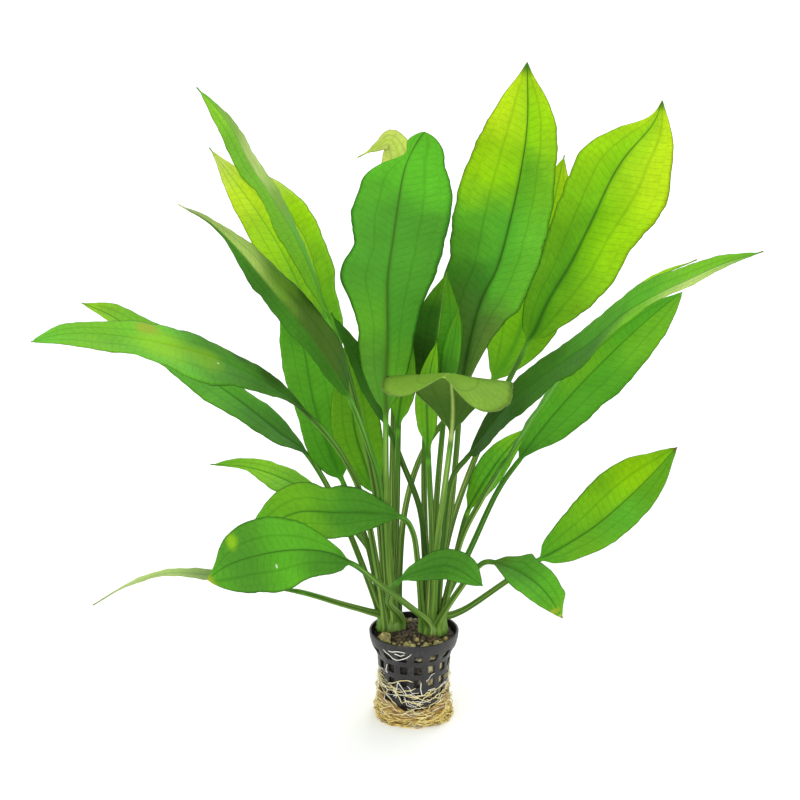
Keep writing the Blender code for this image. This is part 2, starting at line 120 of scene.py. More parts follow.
world = bpy.data.worlds.new("white_room")
world.use_nodes = True
sky = world.node_tree.nodes["Background"].inputs
sky["Color"].default_value = (1.0, 1.0, 1.0, 1.0)
sky["Strength"].default_value = SKY_STRENGTH
scene.world = world
print("two lamps of", LAMP_WATTS, "watts are up")

# %% [markdown]
# Node trees are easier to read when each node is one short call, so we write a small helper.
# It adds a node, links what it is given and returns the output that the next call needs.

# %% A helper for node trees
class Tree:
    """A short way to write a material's nodes."""

    def __init__(self, name):
        self.material = bpy.data.materials.new(name)
        self.material.use_nodes = True
        self.nodes = self.material.node_tree.nodes
        self.links = self.material.node_tree.links
        self.nodes.clear()

    def put(self, socket, value):
        """Link an output to a socket, or set the socket to a number or a colour."""
        if isinstance(value, bpy.types.NodeSocket):
            self.links.new(value, socket)
        elif value is not None:
            socket.default_value = value

    def node(self, kind, inputs=None, **settings):
        """Add a node with its settings and its inputs by name or number."""
        made = self.nodes.new(kind)
        for key, value in settings.items():
            setattr(made, key, value)
        for key, value in (inputs or {}).items():
            self.put(made.inputs[key], value)
        return made

    def math(self, operation, a, b=None, c=None):
        made = self.node("ShaderNodeMath", operation=operation)
        for socket, value in zip(made.inputs, (a, b, c)):
            self.put(socket, value)
        return made.outputs[0]

    def value(self, name):
        """Read one of the numbers that the mesh carries at each of its points."""
        return self.node("ShaderNodeAttribute", attribute_name=name).outputs["Fac"]

    def place(self):
        return self.node("ShaderNodeTexCoord").outputs["Object"]

    def fade(self, value, start, end, low=0.0, high=1.0):
        """Change smoothly from low to high while the value goes from start to end."""
        made = self.node("ShaderNodeMapRange", interpolation_type="SMOOTHSTEP")
        for socket, given in zip(made.inputs, (value, start, end, low, high)):
            self.put(socket, given)
        return made.outputs[0]

    def noise(self, scale, detail, vector, roughness=0.55):
        return self.node("ShaderNodeTexNoise", {
            "Vector": vector, "Scale": scale, "Detail": detail,
            "Roughness": roughness}).outputs["Fac"]

    def most(self, first, *others):
        """Return the greatest of several values."""
        for other in others:
            first = self.math("MAXIMUM", first, other)
        return first

    def mix(self, share, a, b, blend_type="MIX"):
        """Mix two colours."""
        made = self.node("ShaderNodeMix", data_type="RGBA", blend_type=blend_type)
        self.put(made.inputs[0], share)
        self.put(made.inputs[6], a)
        self.put(made.inputs[7], b)
        return made.outputs[2]

    def ramp(self, value, stops):
        """Turn a value into a colour through a list of (place, colour)."""
        made = self.node("ShaderNodeValToRGB")
        made.color_ramp.interpolation = "EASE"
        elements = made.color_ramp.elements
        elements[0].position, elements[0].color = stops[0]
        elements[1].position, elements[1].color = stops[-1]
        for position, colour in stops[1:-1]:
            elements.new(position).color = colour
        self.put(made.inputs[0], value)
        return made.outputs[0]

    def bump(self, height, distance, strength, normal=None):
        return self.node("ShaderNodeBump", {
            "Strength": strength, "Distance": distance, "Height": height,
            "Normal": normal}).outputs["Normal"]

    def skin(self, colour, rough, normal=None, specular=0.5):
        """Add the surface itself: its colour, its roughness, its fine relief and its gleam."""
        return self.node("ShaderNodeBsdfPrincipled", {
            "Base Color": colour, "Roughness": rough, "Normal": normal,
            "Specular IOR Level": specular}).outputs[0]

    def close(self, shader):
        """Send a shader to the output and hand over the finished material."""
        output = self.node("ShaderNodeOutputMaterial")
        self.links.new(shader, output.inputs["Surface"])
        return self.material


def paint(red, green, blue):
    """Turn a colour as a screen shows it, 0 to 255, into the light it stands for."""
    def light(part):
        part /= 255.0
        return part / 12.92 if part <= 0.04045 else ((part + 0.055) / 1.055) ** 2.4
    return (light(red), light(green), light(blue), 1.0)


print("a colour of 128 on a screen stands for", round(paint(128, 128, 128)[0], 3), "of the light")

# %% [markdown]
# The floor is one big square, the same pale grey all over, so that nothing on it draws the eye
# from the plant and only the soft shadow under the pot shows that it is there.

# %% Lay the floor
FLOOR_HALF = 8.0             # metres
FLOOR_GREY = (0.93, 0.93, 0.93, 1.0)

floor_tree = Tree("pale_floor")
floor_data = bpy.data.meshes.new("floor")
corners = [(-FLOOR_HALF, -FLOOR_HALF, 0.0), (FLOOR_HALF, -FLOOR_HALF, 0.0),
           (FLOOR_HALF, FLOOR_HALF, 0.0), (-FLOOR_HALF, FLOOR_HALF, 0.0)]
floor_data.from_pydata(corners, [], [(0, 1, 2, 3)])
floor_data.materials.append(floor_tree.close(floor_tree.skin(FLOOR_GREY, 0.9)))
floor = bpy.data.objects.new("floor", floor_data)
scene.collection.objects.link(floor)
floor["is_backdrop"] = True
print("the floor is", 2 * FLOOR_HALF, "m wide")

# %% [markdown]
# ## The path of a leaf
#
# A leaf leaves its crown upright, arches on its stalk, and its blade carries on along the same
# line, which becomes the midrib. So one smooth path through a few points, in millimetres, holds
# its whole habit. We could draw a Bezier curve by hand. A list of points is easier to read and
# to change, and a Catmull-Rom spline passes through each of them.

# %% Follow a path
CURVE_SAMPLES = 24


def spline(points):
    """Return a smooth curve through the points, as fine steps."""
    ends = [points[0] * 2 - points[1]] + points + [points[-1] * 2 - points[-2]]
    curve = []
    for before, start, end, after in zip(ends, ends[1:], ends[2:], ends[3:]):
        for k in range(CURVE_SAMPLES):
            t = k / CURVE_SAMPLES
            curve.append(0.5 * (2 * start + (end - before) * t
                                + (2 * before - 5 * start + 4 * end - after) * t * t
                                + (3 * start - before - 3 * end + after) * t * t * t))
    curve.append(points[-1])
    return curve


def lengths_along(curve):
    """Return how far along the curve each of its steps is."""
    total = [0.0]
    for a, b in zip(curve, curve[1:]):
        total.append(total[-1] + (b - a).length)
    return total


def at_length(curve, lengths, distance):
    """Return the point and the direction of the curve at a distance along it."""
    distance = min(max(distance, 0.0), lengths[-1])
    k = 1
    while k < len(lengths) - 1 and lengths[k] < distance:
        k += 1
    share = (distance - lengths[k - 1]) / (lengths[k] - lengths[k - 1])
    point = curve[k - 1].lerp(curve[k], share)
    low = max(k - 4, 0)
    high = min(k + 3, len(curve) - 1)
    return point, (curve[high] - curve[low]).normalized()


def between(values, share):
    """Return the number or direction a share of the way along an evenly spread list."""
    if len(values) == 1:
        return values[0]
    place = min(max(share, 0.0), 1.0) * (len(values) - 1)
    k = min(int(place), len(values) - 2)
    part = place - k
    start, end = values[k], values[k + 1]
    before, after = values[max(k - 1, 0)], values[min(k + 2, len(values) - 1)]
    return (start * 2 + (end - before) * part
            + (before * 2 - start * 5 + end * 4 - after) * part ** 2
            + (start * 3 - before - end * 3 + after) * part ** 3) * 0.5


print("a path is split into", CURVE_SAMPLES, "steps between two of its points")

# %% [markdown]
# ## The outline of a blade
#
# Seen flat, a blade is a long lance: it widens from the stalk, is broadest near its middle and
# runs out to a point. One rule gives that shape, the share of the length to one power times
# what is left of it to another. `widest_at` slides the broad place along, and a low `fullness`
# makes the blade blunt, a high one slim. What each leaf does beyond the rule comes further down.

# %% Give the width of a blade
TIP_DRAW = 0.4               # how much the last of a blade is drawn out to a point


def blade_width(share, widest_at, fullness):
    """Return the width of a blade, as a share of its greatest, at a share of its length."""
    if share <= 0.0 or share >= 1.0:
        return 0.0
    p = fullness * widest_at
    q = fullness * (1.0 - widest_at)
    top = widest_at ** p * (1.0 - widest_at) ** q
    return share ** p * (1.0 - share) ** q / top * (1.0 - TIP_DRAW * share ** 10)


for share in (0.1, 0.3, 0.5, 0.8, 0.95):
    print("width at", share, "of the blade:", round(blade_width(share, 0.48, 2.1), 2))

# %% [markdown]
# ## The thirty leaves
#
# Each entry below is one leaf: its name, its crown, the ring and the direction where its stalk
# stands on that crown, the points of its stalk, the points of its blade, its width, and the
# directions in which its upper side looks, from base to tip. The rest is what makes it itself:
# `fold` closes it like a book, `tip_fold` does so near its tip, `widest_at` and `fullness` give
# its outline, and `stalk_radius` makes the stalk of the strongest leaf thicker.
#
# Directions on a crown are in degrees from +X, turning towards +Y. All sizes are millimetres.

# %% List the leaves
STALK_START_Z = 51.5
STALK_RISE = 9.0             # a stalk first goes straight up for this length
CROWN_RING_SPACING = 3.5
STALK_BASE_RADIUS = 1.95
LEFT_CROWN = (-12.5, 5.0)
RIGHT_CROWN = (10.0, 0.0)


def leaf(name, crown, ring, azimuth, stalk, blade, width, faces, **shape):
    """Gather one leaf: its crown, its place there, and the points that it passes through."""
    angle = math.radians(azimuth)
    x = crown[0] + ring * CROWN_RING_SPACING * math.cos(angle)
    y = crown[1] + ring * CROWN_RING_SPACING * math.sin(angle)
    base = [Vector((x, y, STALK_START_Z)), Vector((x, y, STALK_START_Z + STALK_RISE))]
    spec = {
        "name": name,
        "stalk": base + [Vector(p) for p in stalk],
        "blade": [Vector(p) for p in blade],
        "width": width,
        "faces": [Vector(f).normalized() for f in faces],
        "fold": 0.15,
        "widest_at": 0.48,
        "fullness": 2.1,
        "stalk_radius": STALK_BASE_RADIUS,
    }
    spec.update(shape)
    spec.setdefault("tip_fold", spec["fold"])
    return spec


LEAVES = [
    leaf("leaf_tall", RIGHT_CROWN, 1, 60,
         [(20, 10, 113), (24, 14, 155)],
         [(27, 17, 194), (34, 20, 243), (43, 22, 267), (49, 25, 292), (55, 27, 320),
          (60, 29, 348), (62, 30, 381)],
         56, [(-0.3, -0.95, 0.2)], widest_at=0.52, fullness=1.45),
    leaf("leaf_upper_right", RIGHT_CROWN, 2, 80,
         [(22, 18, 112), (38, 30, 155), (53, 42, 187)],
         [(65, 50, 210), (76, 60, 233), (93, 70, 254), (111, 79, 280), (128, 88, 307),
          (140, 95, 328), (144, 100, 343)],
         56, [(-0.3, -0.8, 0.5), (-0.35, -0.85, 0.4)], widest_at=0.56, fullness=1.5),
    leaf("leaf_broad_front", LEFT_CROWN, 1.2, 283,
         [(-15, -11, 114), (-16, -15, 150)],
         [(-16, -19, 190), (-15, -21, 242), (-13, -23, 272), (-9, -24, 295), (-5, -27, 318),
          (-1, -31, 338), (5, -37, 358)],
         57, [(-0.15, 1, 0.05)], stalk_radius=2.4, widest_at=0.6, fullness=1.5),
    leaf("leaf_back_centre", LEFT_CROWN, 1, 90,
         [(-13, 24, 112), (-12, 42, 166)],
         [(-11, 56, 210), (-10, 66, 247), (-9, 76, 279), (-8, 86, 308), (-13, 92, 321),
          (-22, 95, 316), (-33, 95, 310)],
         44, [(-0.3, -0.9, 0.3), (-0.45, -0.8, 0.4)], widest_at=0.4, fullness=2.4),
    leaf("leaf_upper_left", LEFT_CROWN, 1, 180,
         [(-22, 1, 136), (-36, -5, 207)],
         [(-46, -9, 242), (-62, -20, 288), (-75, -27, 315), (-88, -34, 339), (-99, -40, 363),
          (-115, -45, 384)],
         44, [(0.94, -0.05, 0.35), (0.89, -0.15, 0.45), (0.8, -0.25, 0.55)], fold=-0.1),
    leaf("leaf_left_yellow", LEFT_CROWN, 2, 112,
         [(-22, 32, 122), (-37, 43, 174)],
         [(-52, 50, 212), (-73, 60, 257), (-88, 68, 281), (-104, 75, 302), (-118, 80, 320)],
         42, [(0.67, -0.5, 0.55)], fold=0.1),
    leaf("leaf_left_back", LEFT_CROWN, 2, 87,
         [(-17, 42, 122), (-33, 64, 170)],
         [(-45, 76, 192), (-60, 88, 222), (-72, 97, 249), (-84, 104, 276), (-96, 110, 300)],
         46, [(0.55, -0.7, 0.5)], fold=0.1, fullness=1.6),
    leaf("leaf_left_folded", LEFT_CROWN, 1, 228,
         [(-19, -15, 142), (-26, -23, 176)],
         [(-36, -30, 206), (-43, -35, 224), (-56, -41, 248), (-73, -48, 273), (-90, -55, 297),
          (-108, -61, 315), (-125, -65, 326)],
         39, [(0.9, -0.35, 0.3), (0.8, -0.25, 0.5), (0.6, -0.05, 0.8)], fold=-0.15,
         widest_at=0.4, fullness=1.8),
    leaf("leaf_left_hanging", LEFT_CROWN, 2, 160,
         [(-26, 20, 94), (-35, 30, 117)],
         [(-42, 36, 132), (-49, 42, 148), (-58, 48, 174), (-64, 56, 205), (-72, 62, 234),
          (-84, 66, 260)],
         46, [(0.65, -0.65, 0.35)], fullness=1.4),
    leaf("leaf_far_left", LEFT_CROWN, 2, 232,
         [(-27, -8, 128), (-39, -21, 166)],
         [(-56, -38, 196), (-72, -48, 215), (-89, -58, 229), (-112, -68, 241), (-135, -76, 250),
          (-161, -82, 256), (-183, -87, 259), (-202, -90, 258)],
         45, [(0.7, -0.2, 0.65), (-0.1, -0.15, 1)], fold=0.1, fullness=1.8, widest_at=0.56),
    leaf("leaf_far_left_lower", LEFT_CROWN, 2, 184,
         [(-41, 16, 116)],
         [(-61, 32, 148), (-79, 39, 161), (-101, 46, 177), (-124, 52, 192), (-153, 57, 210),
          (-175, 60, 224), (-193, 62, 232)],
         44, [(0.5, -0.25, 0.8), (0.35, -0.25, 0.9)], fold=0.1, fullness=1.6),
    leaf("leaf_low_left_back", LEFT_CROWN, 2, 136,
         [(-24, 30, 86)],
         [(-41, 46, 103), (-55, 54, 112), (-76, 64, 121), (-98, 74, 125), (-122, 80, 125)],
         30, [(0.3, -0.25, 0.9)], fold=0.1),
    leaf("leaf_low_left", RIGHT_CROWN, 2, 222,
         [(2, -12, 100), (-1, -17, 121)],
         [(-8, -22, 132), (-26, -28, 137), (-44, -33, 139), (-64, -40, 142), (-80, -47, 137),
          (-93, -52, 129)],
         38, [(0.35, -0.5, 0.8), (-0.15, -0.65, 0.75)], fullness=1.4),
    leaf("leaf_low_left_front", RIGHT_CROWN, 2, 252,
         [(-3, -26, 79), (-22, -43, 102)],
         [(-35, -54, 117), (-52, -64, 126), (-71, -76, 131), (-92, -88, 133), (-112, -96, 125)],
         43, [(0.5, -0.6, 0.6), (0.1, -0.8, 0.6)], widest_at=0.56, fullness=1.6),
    leaf("leaf_trailing", LEFT_CROWN, 2, 208,
         [(-27, 1, 64), (-42, 0, 69)],
         [(-64, 0, 76), (-95, 0, 83), (-120, 0, 87), (-143, 0, 88), (-167, 0, 80),
          (-186, 0, 68)],
         28, [(0.05, 0.2, 0.95)], fold=0.05),
    leaf("leaf_curled_front", RIGHT_CROWN, 1, 290,
         [(13, -16, 112), (16, -26, 144)],
         [(20, -33, 182), (21, -36, 202), (20, -42, 218), (19, -54, 228), (17, -70, 233),
          (15, -86, 237)],
         72, [(0, 1, 0.2), (0.06, 0.6, 0.9), (0.14, -0.1, 1)], fold=0.05, tip_fold=-1.1,
         widest_at=0.72, fullness=2.0),
    leaf("leaf_small_front", LEFT_CROWN, 2, 312,
         [(-15, -20, 80)],
         [(-9, -28, 95), (3, -36, 105), (20, -46, 112), (38, -58, 105)],
         23, [(-0.5, -0.5, 0.65), (0.1, -0.6, 0.8)], fullness=1.5),
    leaf("leaf_low_right_front", RIGHT_CROWN, 2, 308,
         [(26, -18, 86), (35, -28, 103)],
         [(43, -35, 110), (59, -48, 109), (72, -58, 102), (82, -66, 89)],
         26, [(0.1, -0.45, 0.9), (0.3, -0.4, 0.85)], fullness=1.5),
    leaf("leaf_low_right", RIGHT_CROWN, 2, 0,
         [(23, 1, 62), (33, 2, 67), (54, 6, 81)],
         [(72, 10, 92), (88, 14, 100), (106, 20, 110), (125, 26, 125), (140, 31, 139),
          (153, 35, 153)],
         44, [(-0.45, -0.45, 0.75)], fullness=1.7),
    leaf("leaf_right_broad", RIGHT_CROWN, 2, 52,
         [(32, 22, 92), (48, 34, 124)],
         [(61, 40, 142), (78, 48, 160), (97, 58, 177), (120, 68, 198), (142, 78, 218),
          (158, 84, 232)],
         50, [(-0.5, -0.5, 0.7), (-0.5, -0.45, 0.75)], fullness=1.6),
    leaf("leaf_far_right", RIGHT_CROWN, 1, 342,
         [(17, -3, 110), (21, -8, 148)],
         [(30, -14, 165), (37, -18, 177), (50, -28, 199), (63, -36, 215), (80, -46, 232),
          (95, -56, 247), (110, -66, 265), (126, -76, 279), (143, -86, 291), (160, -94, 302),
          (179, -102, 311)],
         48, [(-0.89, -0.25, 0.4), (-0.8, -0.1, 0.6), (-0.5, -0.15, 0.85)], fullness=1.7,
         widest_at=0.42),
    leaf("leaf_right_edge", RIGHT_CROWN, 2, 334,
         [(26, 0, 106), (38, 2, 132)],
         [(49, 2, 152), (63, 0, 176), (89, -8, 220), (113, -14, 252), (135, -19, 273),
          (154, -22, 283)],
         38, [(-0.75, 0.15, 0.6)]),
    leaf("leaf_small_right", RIGHT_CROWN, 2, 26,
         [(26, 12, 102)],
         [(31, 18, 119), (39, 22, 134), (51, 26, 151), (65, 30, 166)],
         20, [(-0.5, -0.65, 0.55)], fullness=1.6),
    leaf("leaf_back_right", LEFT_CROWN, 2, 62,
         [(-6, 21, 114), (5, 38, 148), (24, 56, 168)],
         [(45, 72, 179), (61, 90, 200), (71, 105, 232), (81, 114, 268), (89, 118, 306)],
         56, [(-0.2, -0.6, 0.8), (-0.4, -0.8, 0.45)]),
    leaf("leaf_back_narrow", RIGHT_CROWN, 1, 120,
         [(6, 19, 122), (6, 18, 160)],
         [(8, 16, 189), (10, 14, 207), (13, 10, 226), (15, 9, 245), (18, 8, 267)],
         30, [(-0.2, -0.95, 0.2)]),
    leaf("leaf_young", RIGHT_CROWN, 0, 0,
         [(12, -1, 122)],
         [(17, 0, 188), (20, 2, 214), (23, 3, 234), (25, 3, 250)],
         11, [(-0.35, -0.95, 0.1)]),
    leaf("leaf_dark_narrow", RIGHT_CROWN, 1, 180,
         [(6, 4, 100), (3, 8, 126), (-7, 8, 154)],
         [(-13, 8, 170), (-24, 8, 196), (-35, 10, 220), (-47, 12, 242)],
         18, [(0.8, -0.5, 0.4)]),
    leaf("leaf_left_inner", LEFT_CROWN, 1.16, 135,
         [(-19, 15, 98)],
         [(-21, 24, 124), (-27, 28, 141), (-34, 31, 164), (-37, 34, 190), (-40, 37, 216)],
         34, [(0.54, -0.8, 0.3)]),
    leaf("leaf_small_centre", LEFT_CROWN, 0, 0,
         [(-10, 6, 122)],
         [(-9, 4, 175), (-8, 4, 190), (-6, 3, 206), (-4, 2, 219), (-1, 0, 232)],
         17, [(-0.4, -0.9, 0.2)]),
    leaf("leaf_small_pale", RIGHT_CROWN, 1, 238,
         [(10, -8, 112)],
         [(8, -9, 162), (7, -8, 197), (9, -6, 214), (13, -4, 232)],
         14, [(-0.4, -0.9, 0.2)]),
]

print(len(LEAVES), "leaves; the longest blade is that of",
      max(LEAVES, key=lambda spec: lengths_along(spec["blade"])[-1])["name"])

# %% [markdown]
# No leaf keeps to the rule exactly: its margins swell out and draw in, and its midrib wanders.
# We could list the half width at many even steps, but then nobody could read the leaf from it.
# Here each swell is one entry: where it lies between the base (0) and the tip (1), how far it
# spreads, and by what share it widens the margin, or narrows it if negative.
# The rib lists say how far the midrib lies off the middle, evenly from the base to the tip.

# %% Describe the swells of the margins
SWELLS = {
    "leaf_tall": dict(
        left=[(0.05, 0.14, 0.22), (0.32, 0.14, -0.12), (1.0, 0.06, -0.4)],
        right=[(0.08, 0.14, -0.35), (0.30, 0.05, 0.10), (0.87, 0.10, 0.12), (1.0, 0.06, -0.4)],
        rib=[0.0, 0.14, 0.18, 0.12]),
    "leaf_upper_right": dict(
        left=[(0.0, 0.06, 0.2), (0.22, 0.18, -0.23), (0.72, 0.14, 0.22), (1.0, 0.10, -0.7)],
        right=[(0.05, 0.25, 0.55), (0.48, 0.06, -0.08), (0.67, 0.08, 0.12), (1.0, 0.10, -0.5)],
        rib=[0.22, 0.0, -0.18, -0.32, -0.10]),
    "leaf_broad_front": dict(
        left=[(0.32, 0.16, -0.25), (0.60, 0.12, -0.05), (0.78, 0.06, 0.06), (1.0, 0.07, 0.6)],
        right=[(0.32, 0.10, -0.26), (0.47, 0.04, 0.05), (0.58, 0.06, -0.18), (0.80, 0.04, 0.08),
               (0.91, 0.045, -0.58)],
        rib=[0.10, 0.0, 0.08, 0.15, 0.30]),
    "leaf_left_back": dict(right=[(0.30, 0.07, -0.12), (1.0, 0.4, 0.45)]),
    "leaf_upper_left": dict(left=[(0.57, 0.10, -0.42), (0.92, 0.14, 0.7)]),
    "leaf_left_folded": dict(
        left=[(0.25, 0.25, -0.25), (0.67, 0.09, 0.25), (1.0, 0.17, -0.85)],
        right=[(0.0, 0.25, 0.9), (0.5, 0.30, 0.12), (0.9, 0.12, 0.15)],
        rib=[-0.15, -0.20, -0.26, -0.38, -0.10]),
    "leaf_left_hanging": dict(left=[(0.0, 0.16, 0.4), (0.35, 0.12, -0.25), (0.82, 0.2, -0.35)]),
    "leaf_far_left": dict(
        left=[(0.08, 0.16, -0.45), (0.50, 0.09, 0.32), (0.70, 0.07, -0.35), (1.0, 0.08, -0.2)],
        right=[(0.28, 0.20, -0.32), (1.0, 0.14, 0.8)],
        rib=[0.0, -0.10, 0.15, 0.20, 0.35, 0.50]),
    "leaf_far_left_lower": dict(
        left=[(0.10, 0.06, 0.2), (0.40, 0.07, 0.12), (0.8, 0.22, -0.26)],
        right=[(0.0, 0.12, -0.35), (0.40, 0.20, -0.46), (0.92, 0.09, 0.5)]),
    "leaf_low_left_back": dict(
        left=[(0.48, 0.08, 0.12), (0.85, 0.2, -0.78)],
        right=[(0.25, 0.35, -0.34), (1.0, 0.12, 0.5)]),
    "leaf_low_left": dict(
        left=[(0.0, 0.22, -0.45)],
        right=[(0.05, 0.15, -0.25), (0.45, 0.10, -0.2), (0.88, 0.12, -0.10)]),
    "leaf_low_left_front": dict(
        left=[(0.0, 0.07, 0.4), (0.33, 0.16, -0.24), (1.0, 0.20, 0.4)],
        right=[(0.10, 0.20, -0.22), (0.95, 0.10, -0.4)],
        rib=[0.3, 0.17, 0.12, 0.05, 0.2]),
    "leaf_small_front": dict(
        left=[(0.15, 0.35, -0.38), (0.85, 0.18, 0.25)],
        right=[(0.0, 0.22, -0.6), (0.35, 0.2, -0.25)]),
    "leaf_low_right_front": dict(
        left=[(0.30, 0.05, 0.3), (0.80, 0.05, 0.25), (1.0, 0.08, -0.25)],
        right=[(0.0, 0.25, -0.55), (0.75, 0.25, 0.2)]),
    "leaf_low_right": dict(
        left=[(0.0, 0.14, 0.25), (0.75, 0.3, 0.3), (1.0, 0.08, 0.3)],
        right=[(0.0, 0.16, 0.38)]),
    "leaf_right_broad": dict(
        left=[(0.28, 0.14, -0.26)],
        right=[(0.0, 0.11, -0.6), (0.40, 0.06, -0.12), (1.0, 0.18, 0.38)],
        rib=[-0.12, -0.18, -0.2, -0.2]),
    "leaf_far_right": dict(
        left=[(0.35, 0.35, -0.46), (1.0, 0.14, 0.4)],
        right=[(0.0, 0.07, 0.4), (0.40, 0.05, -0.18), (0.72, 0.12, -0.46)]),
}
for spec in LEAVES:
    spec["swells"] = SWELLS.get(spec["name"], {})
    spec["rib"] = spec["swells"].get("rib", [0.0])


def swell(spec, hand, share):
    """Return the factor by which the margin of one hand swells out or draws in at a share."""
    factor = 1.0
    for at, spread, amount in spec["swells"].get("left" if hand < 0 else "right", []):
        factor += amount * math.exp(-((share - at) / spread) ** 2)
    return factor


print(len(SWELLS), "leaves have swells of their own")

# %% [markdown]
# ## The form of a leaf
#
# A stalk is round and a blade is thin and flat, yet they are one body. We could sweep a profile
# along a curve, but its section would stay the same. So we loft: rings of points stand across
# the path, and each ring knows how wide it is there. The rings of a stalk stand evenly. Those of
# a blade crowd towards the tip, where the outline turns fastest.

# %% Space the rings of a leaf
STALK_END_RADIUS = 1.55
MIDRIB_TIP_RADIUS = 0.40
SHEATH_LENGTH = 28.0         # the lowest part of a stalk widens into a sheath
SHEATH_SWELL = 1.2
STALK_RINGS = 34
RING_SPACING = 1.6           # between two rings of a blade
FEWEST_RINGS = 36            # on the shortest blades
TIP_CROWDING = 1.25


def ring_distances(stalk_end, blade_length):
    """Return how far along the leaf each of its rings stands."""
    steps = max(int(blade_length / RING_SPACING), FEWEST_RINGS)
    distances = [stalk_end * i / STALK_RINGS for i in range(STALK_RINGS)]
    for i in range(steps):
        distances.append(stalk_end + blade_length * (1.0 - (1.0 - i / steps) ** TIP_CROWDING))
    return distances


def rib_radius(spec, distance, stalk_end, share):
    """Return the radius of the stalk at a distance or, on the blade, of the midrib."""
    if share >= 0.0:
        return STALK_END_RADIUS * (1 - share) + MIDRIB_TIP_RADIUS * share
    part = distance / stalk_end
    radius = spec["stalk_radius"] * (1 - part) + STALK_END_RADIUS * part
    return radius + SHEATH_SWELL * max(1.0 - distance / SHEATH_LENGTH, 0.0) ** 2


def leaf_rings(spec):
    """Return the rings of a leaf, the point of its tip and the length of its stalk."""
    path = spline(spec["stalk"] + spec["blade"])
    lengths = lengths_along(path)
    stalk_end = lengths[len(spec["stalk"]) * CURVE_SAMPLES]
    blade_length = lengths[-1] - stalk_end
    rings = []
    for distance in ring_distances(stalk_end, blade_length):
        centre, along = at_length(path, lengths, distance)
        share = (distance - stalk_end) / blade_length
        width = spec["width"] * blade_width(share, spec["widest_at"], spec["fullness"])
        rings.append(SimpleNamespace(
            centre=centre, along=along, share=share, run=distance - stalk_end, half=width / 2,
            side=along.cross(between(spec["faces"], share)).normalized(),
            radius=rib_radius(spec, distance, stalk_end, share)))
    for ring, after in reversed(list(zip(rings, rings[1:]))):
        if ring.share < 0.0:
            ring.side = (after.side - ring.along * after.side.dot(ring.along)).normalized()
        elif ring.side.dot(after.side) < 0.0:
            ring.side = -ring.side
    return rings, path[-1], stalk_end


print("the first leaf has", len(leaf_rings(LEAVES[0])[0]), "rings")

# %% [markdown]
# Each ring has an upper and a lower row of points from the left edge to the right edge. On the
# stalk the two rows make a circle. On the blade they lie half a millimetre apart, with a raised
# midrib below and a shallow channel above, and the rows close up at the margins. Where a ring is
# only a little wider than its rib it is partly round and partly flat, so a stalk passes into its
# blade without a step. The margins also ripple up and down and are cut in small uneven scallops.

# %% Shape one ring
BLADE_HALF_THICKNESS = 0.25
RIB_BELOW = 0.9              # how far the midrib stands out below, as a share of its radius
CHANNEL_ABOVE = 0.25         # how deep the channel over it is, as a share of the same
KEEL_RADIUS = 2.2            # a folded blade turns over its midrib in a small round
ROW_HALF = 13                # points from the midrib to one edge
RIB_CROWDING = 1.5           # they stand closer together near the midrib
WAVE_HEIGHT = 0.4
WAVE_LENGTH = 42.0


def own_phase(spec, step, hand, hand_step):
    """Return a phase that differs from leaf to leaf and between the two hands of a leaf."""
    return sum(ord(letter) for letter in spec["name"]) * step + hand * hand_step


def ripple(spec, run, hand):
    """Return how far the margin waves up or down at a run along the blade."""
    phase = own_phase(spec, 0.7, hand, 1.9)
    turn = 2 * math.pi * run / WAVE_LENGTH
    return WAVE_HEIGHT * (math.sin(turn + phase) + 0.45 * math.sin(2.3 * turn + 2 * phase)
                          + 0.35 * math.sin(4.9 * turn + 3 * phase))


def crinkle(spec, run, hand):
    """Return the factor by which the margin steps in or out, in small uneven scallops."""
    phase = own_phase(spec, 1.3, hand, 2.7)
    turn = run * 0.31 + 1.6 * math.sin(run * 0.11 + phase)
    return 1.0 + 0.012 * math.sin(turn + phase) + 0.006 * math.sin(2.7 * turn)


def leaf_row(spec, ring):
    """Return the places of one ring: for each point across, its upper and its lower place."""
    radius = ring.radius
    up = ring.side.cross(ring.along)
    flat = min(max((ring.half - radius) / (3 * radius), 0.0), 1.0)
    settle = math.sin(math.pi * min(max(ring.share, 0.0), 1.0))
    rib = between(spec["rib"], ring.share) * ring.half
    late = max(ring.share, 0.0) ** 4
    fold = spec["fold"] * (1 - late) + spec["tip_fold"] * late
    row = []
    for k in range(-ROW_HALF, ROW_HALF + 1):
        t = k / ROW_HALF
        hand = -1 if t < 0 else 1
        reach = ring.half * swell(spec, hand, ring.share) * crinkle(spec, ring.run, hand)
        u = hand * abs(t) ** RIB_CROWDING
        spread = rib + u * (max(reach, radius) - hand * rib)
        round_side = radius * math.sin(t * math.pi / 2)
        round_up = radius * math.cos(t * math.pi / 2)
        lateral = round_side * (1 - flat) + spread * flat
        from_rib = (lateral - rib) / radius
        near_rib = radius * math.exp(-from_rib * from_rib)
        body = BLADE_HALF_THICKNESS * math.sqrt(max(1 - u ** 8, 0.0))
        bend = fold * (math.hypot(lateral, KEEL_RADIUS) - KEEL_RADIUS)
        bend += ripple(spec, ring.run, hand) * u * u * settle ** 0.5
        above = round_up * (1 - flat) + (body - CHANNEL_ABOVE * near_rib + bend) * flat
        below = -round_up * (1 - flat) + (-body - RIB_BELOW * near_rib + bend) * flat
        if abs(k) == ROW_HALF:
            above = below = bend * flat
        sideways = ring.centre + ring.side * lateral
        row.append((u, sideways + up * above, sideways + up * below))
    return row


print("a ring has", 4 * ROW_HALF, "points")

# %% [markdown]
# Now the rings are joined into one closed body. Every point also carries numbers that the finish
# will read: how far along the leaf it is, how far across, both of these in millimetres, and
# whether it is on the upper side. They follow the leaf through every bend.

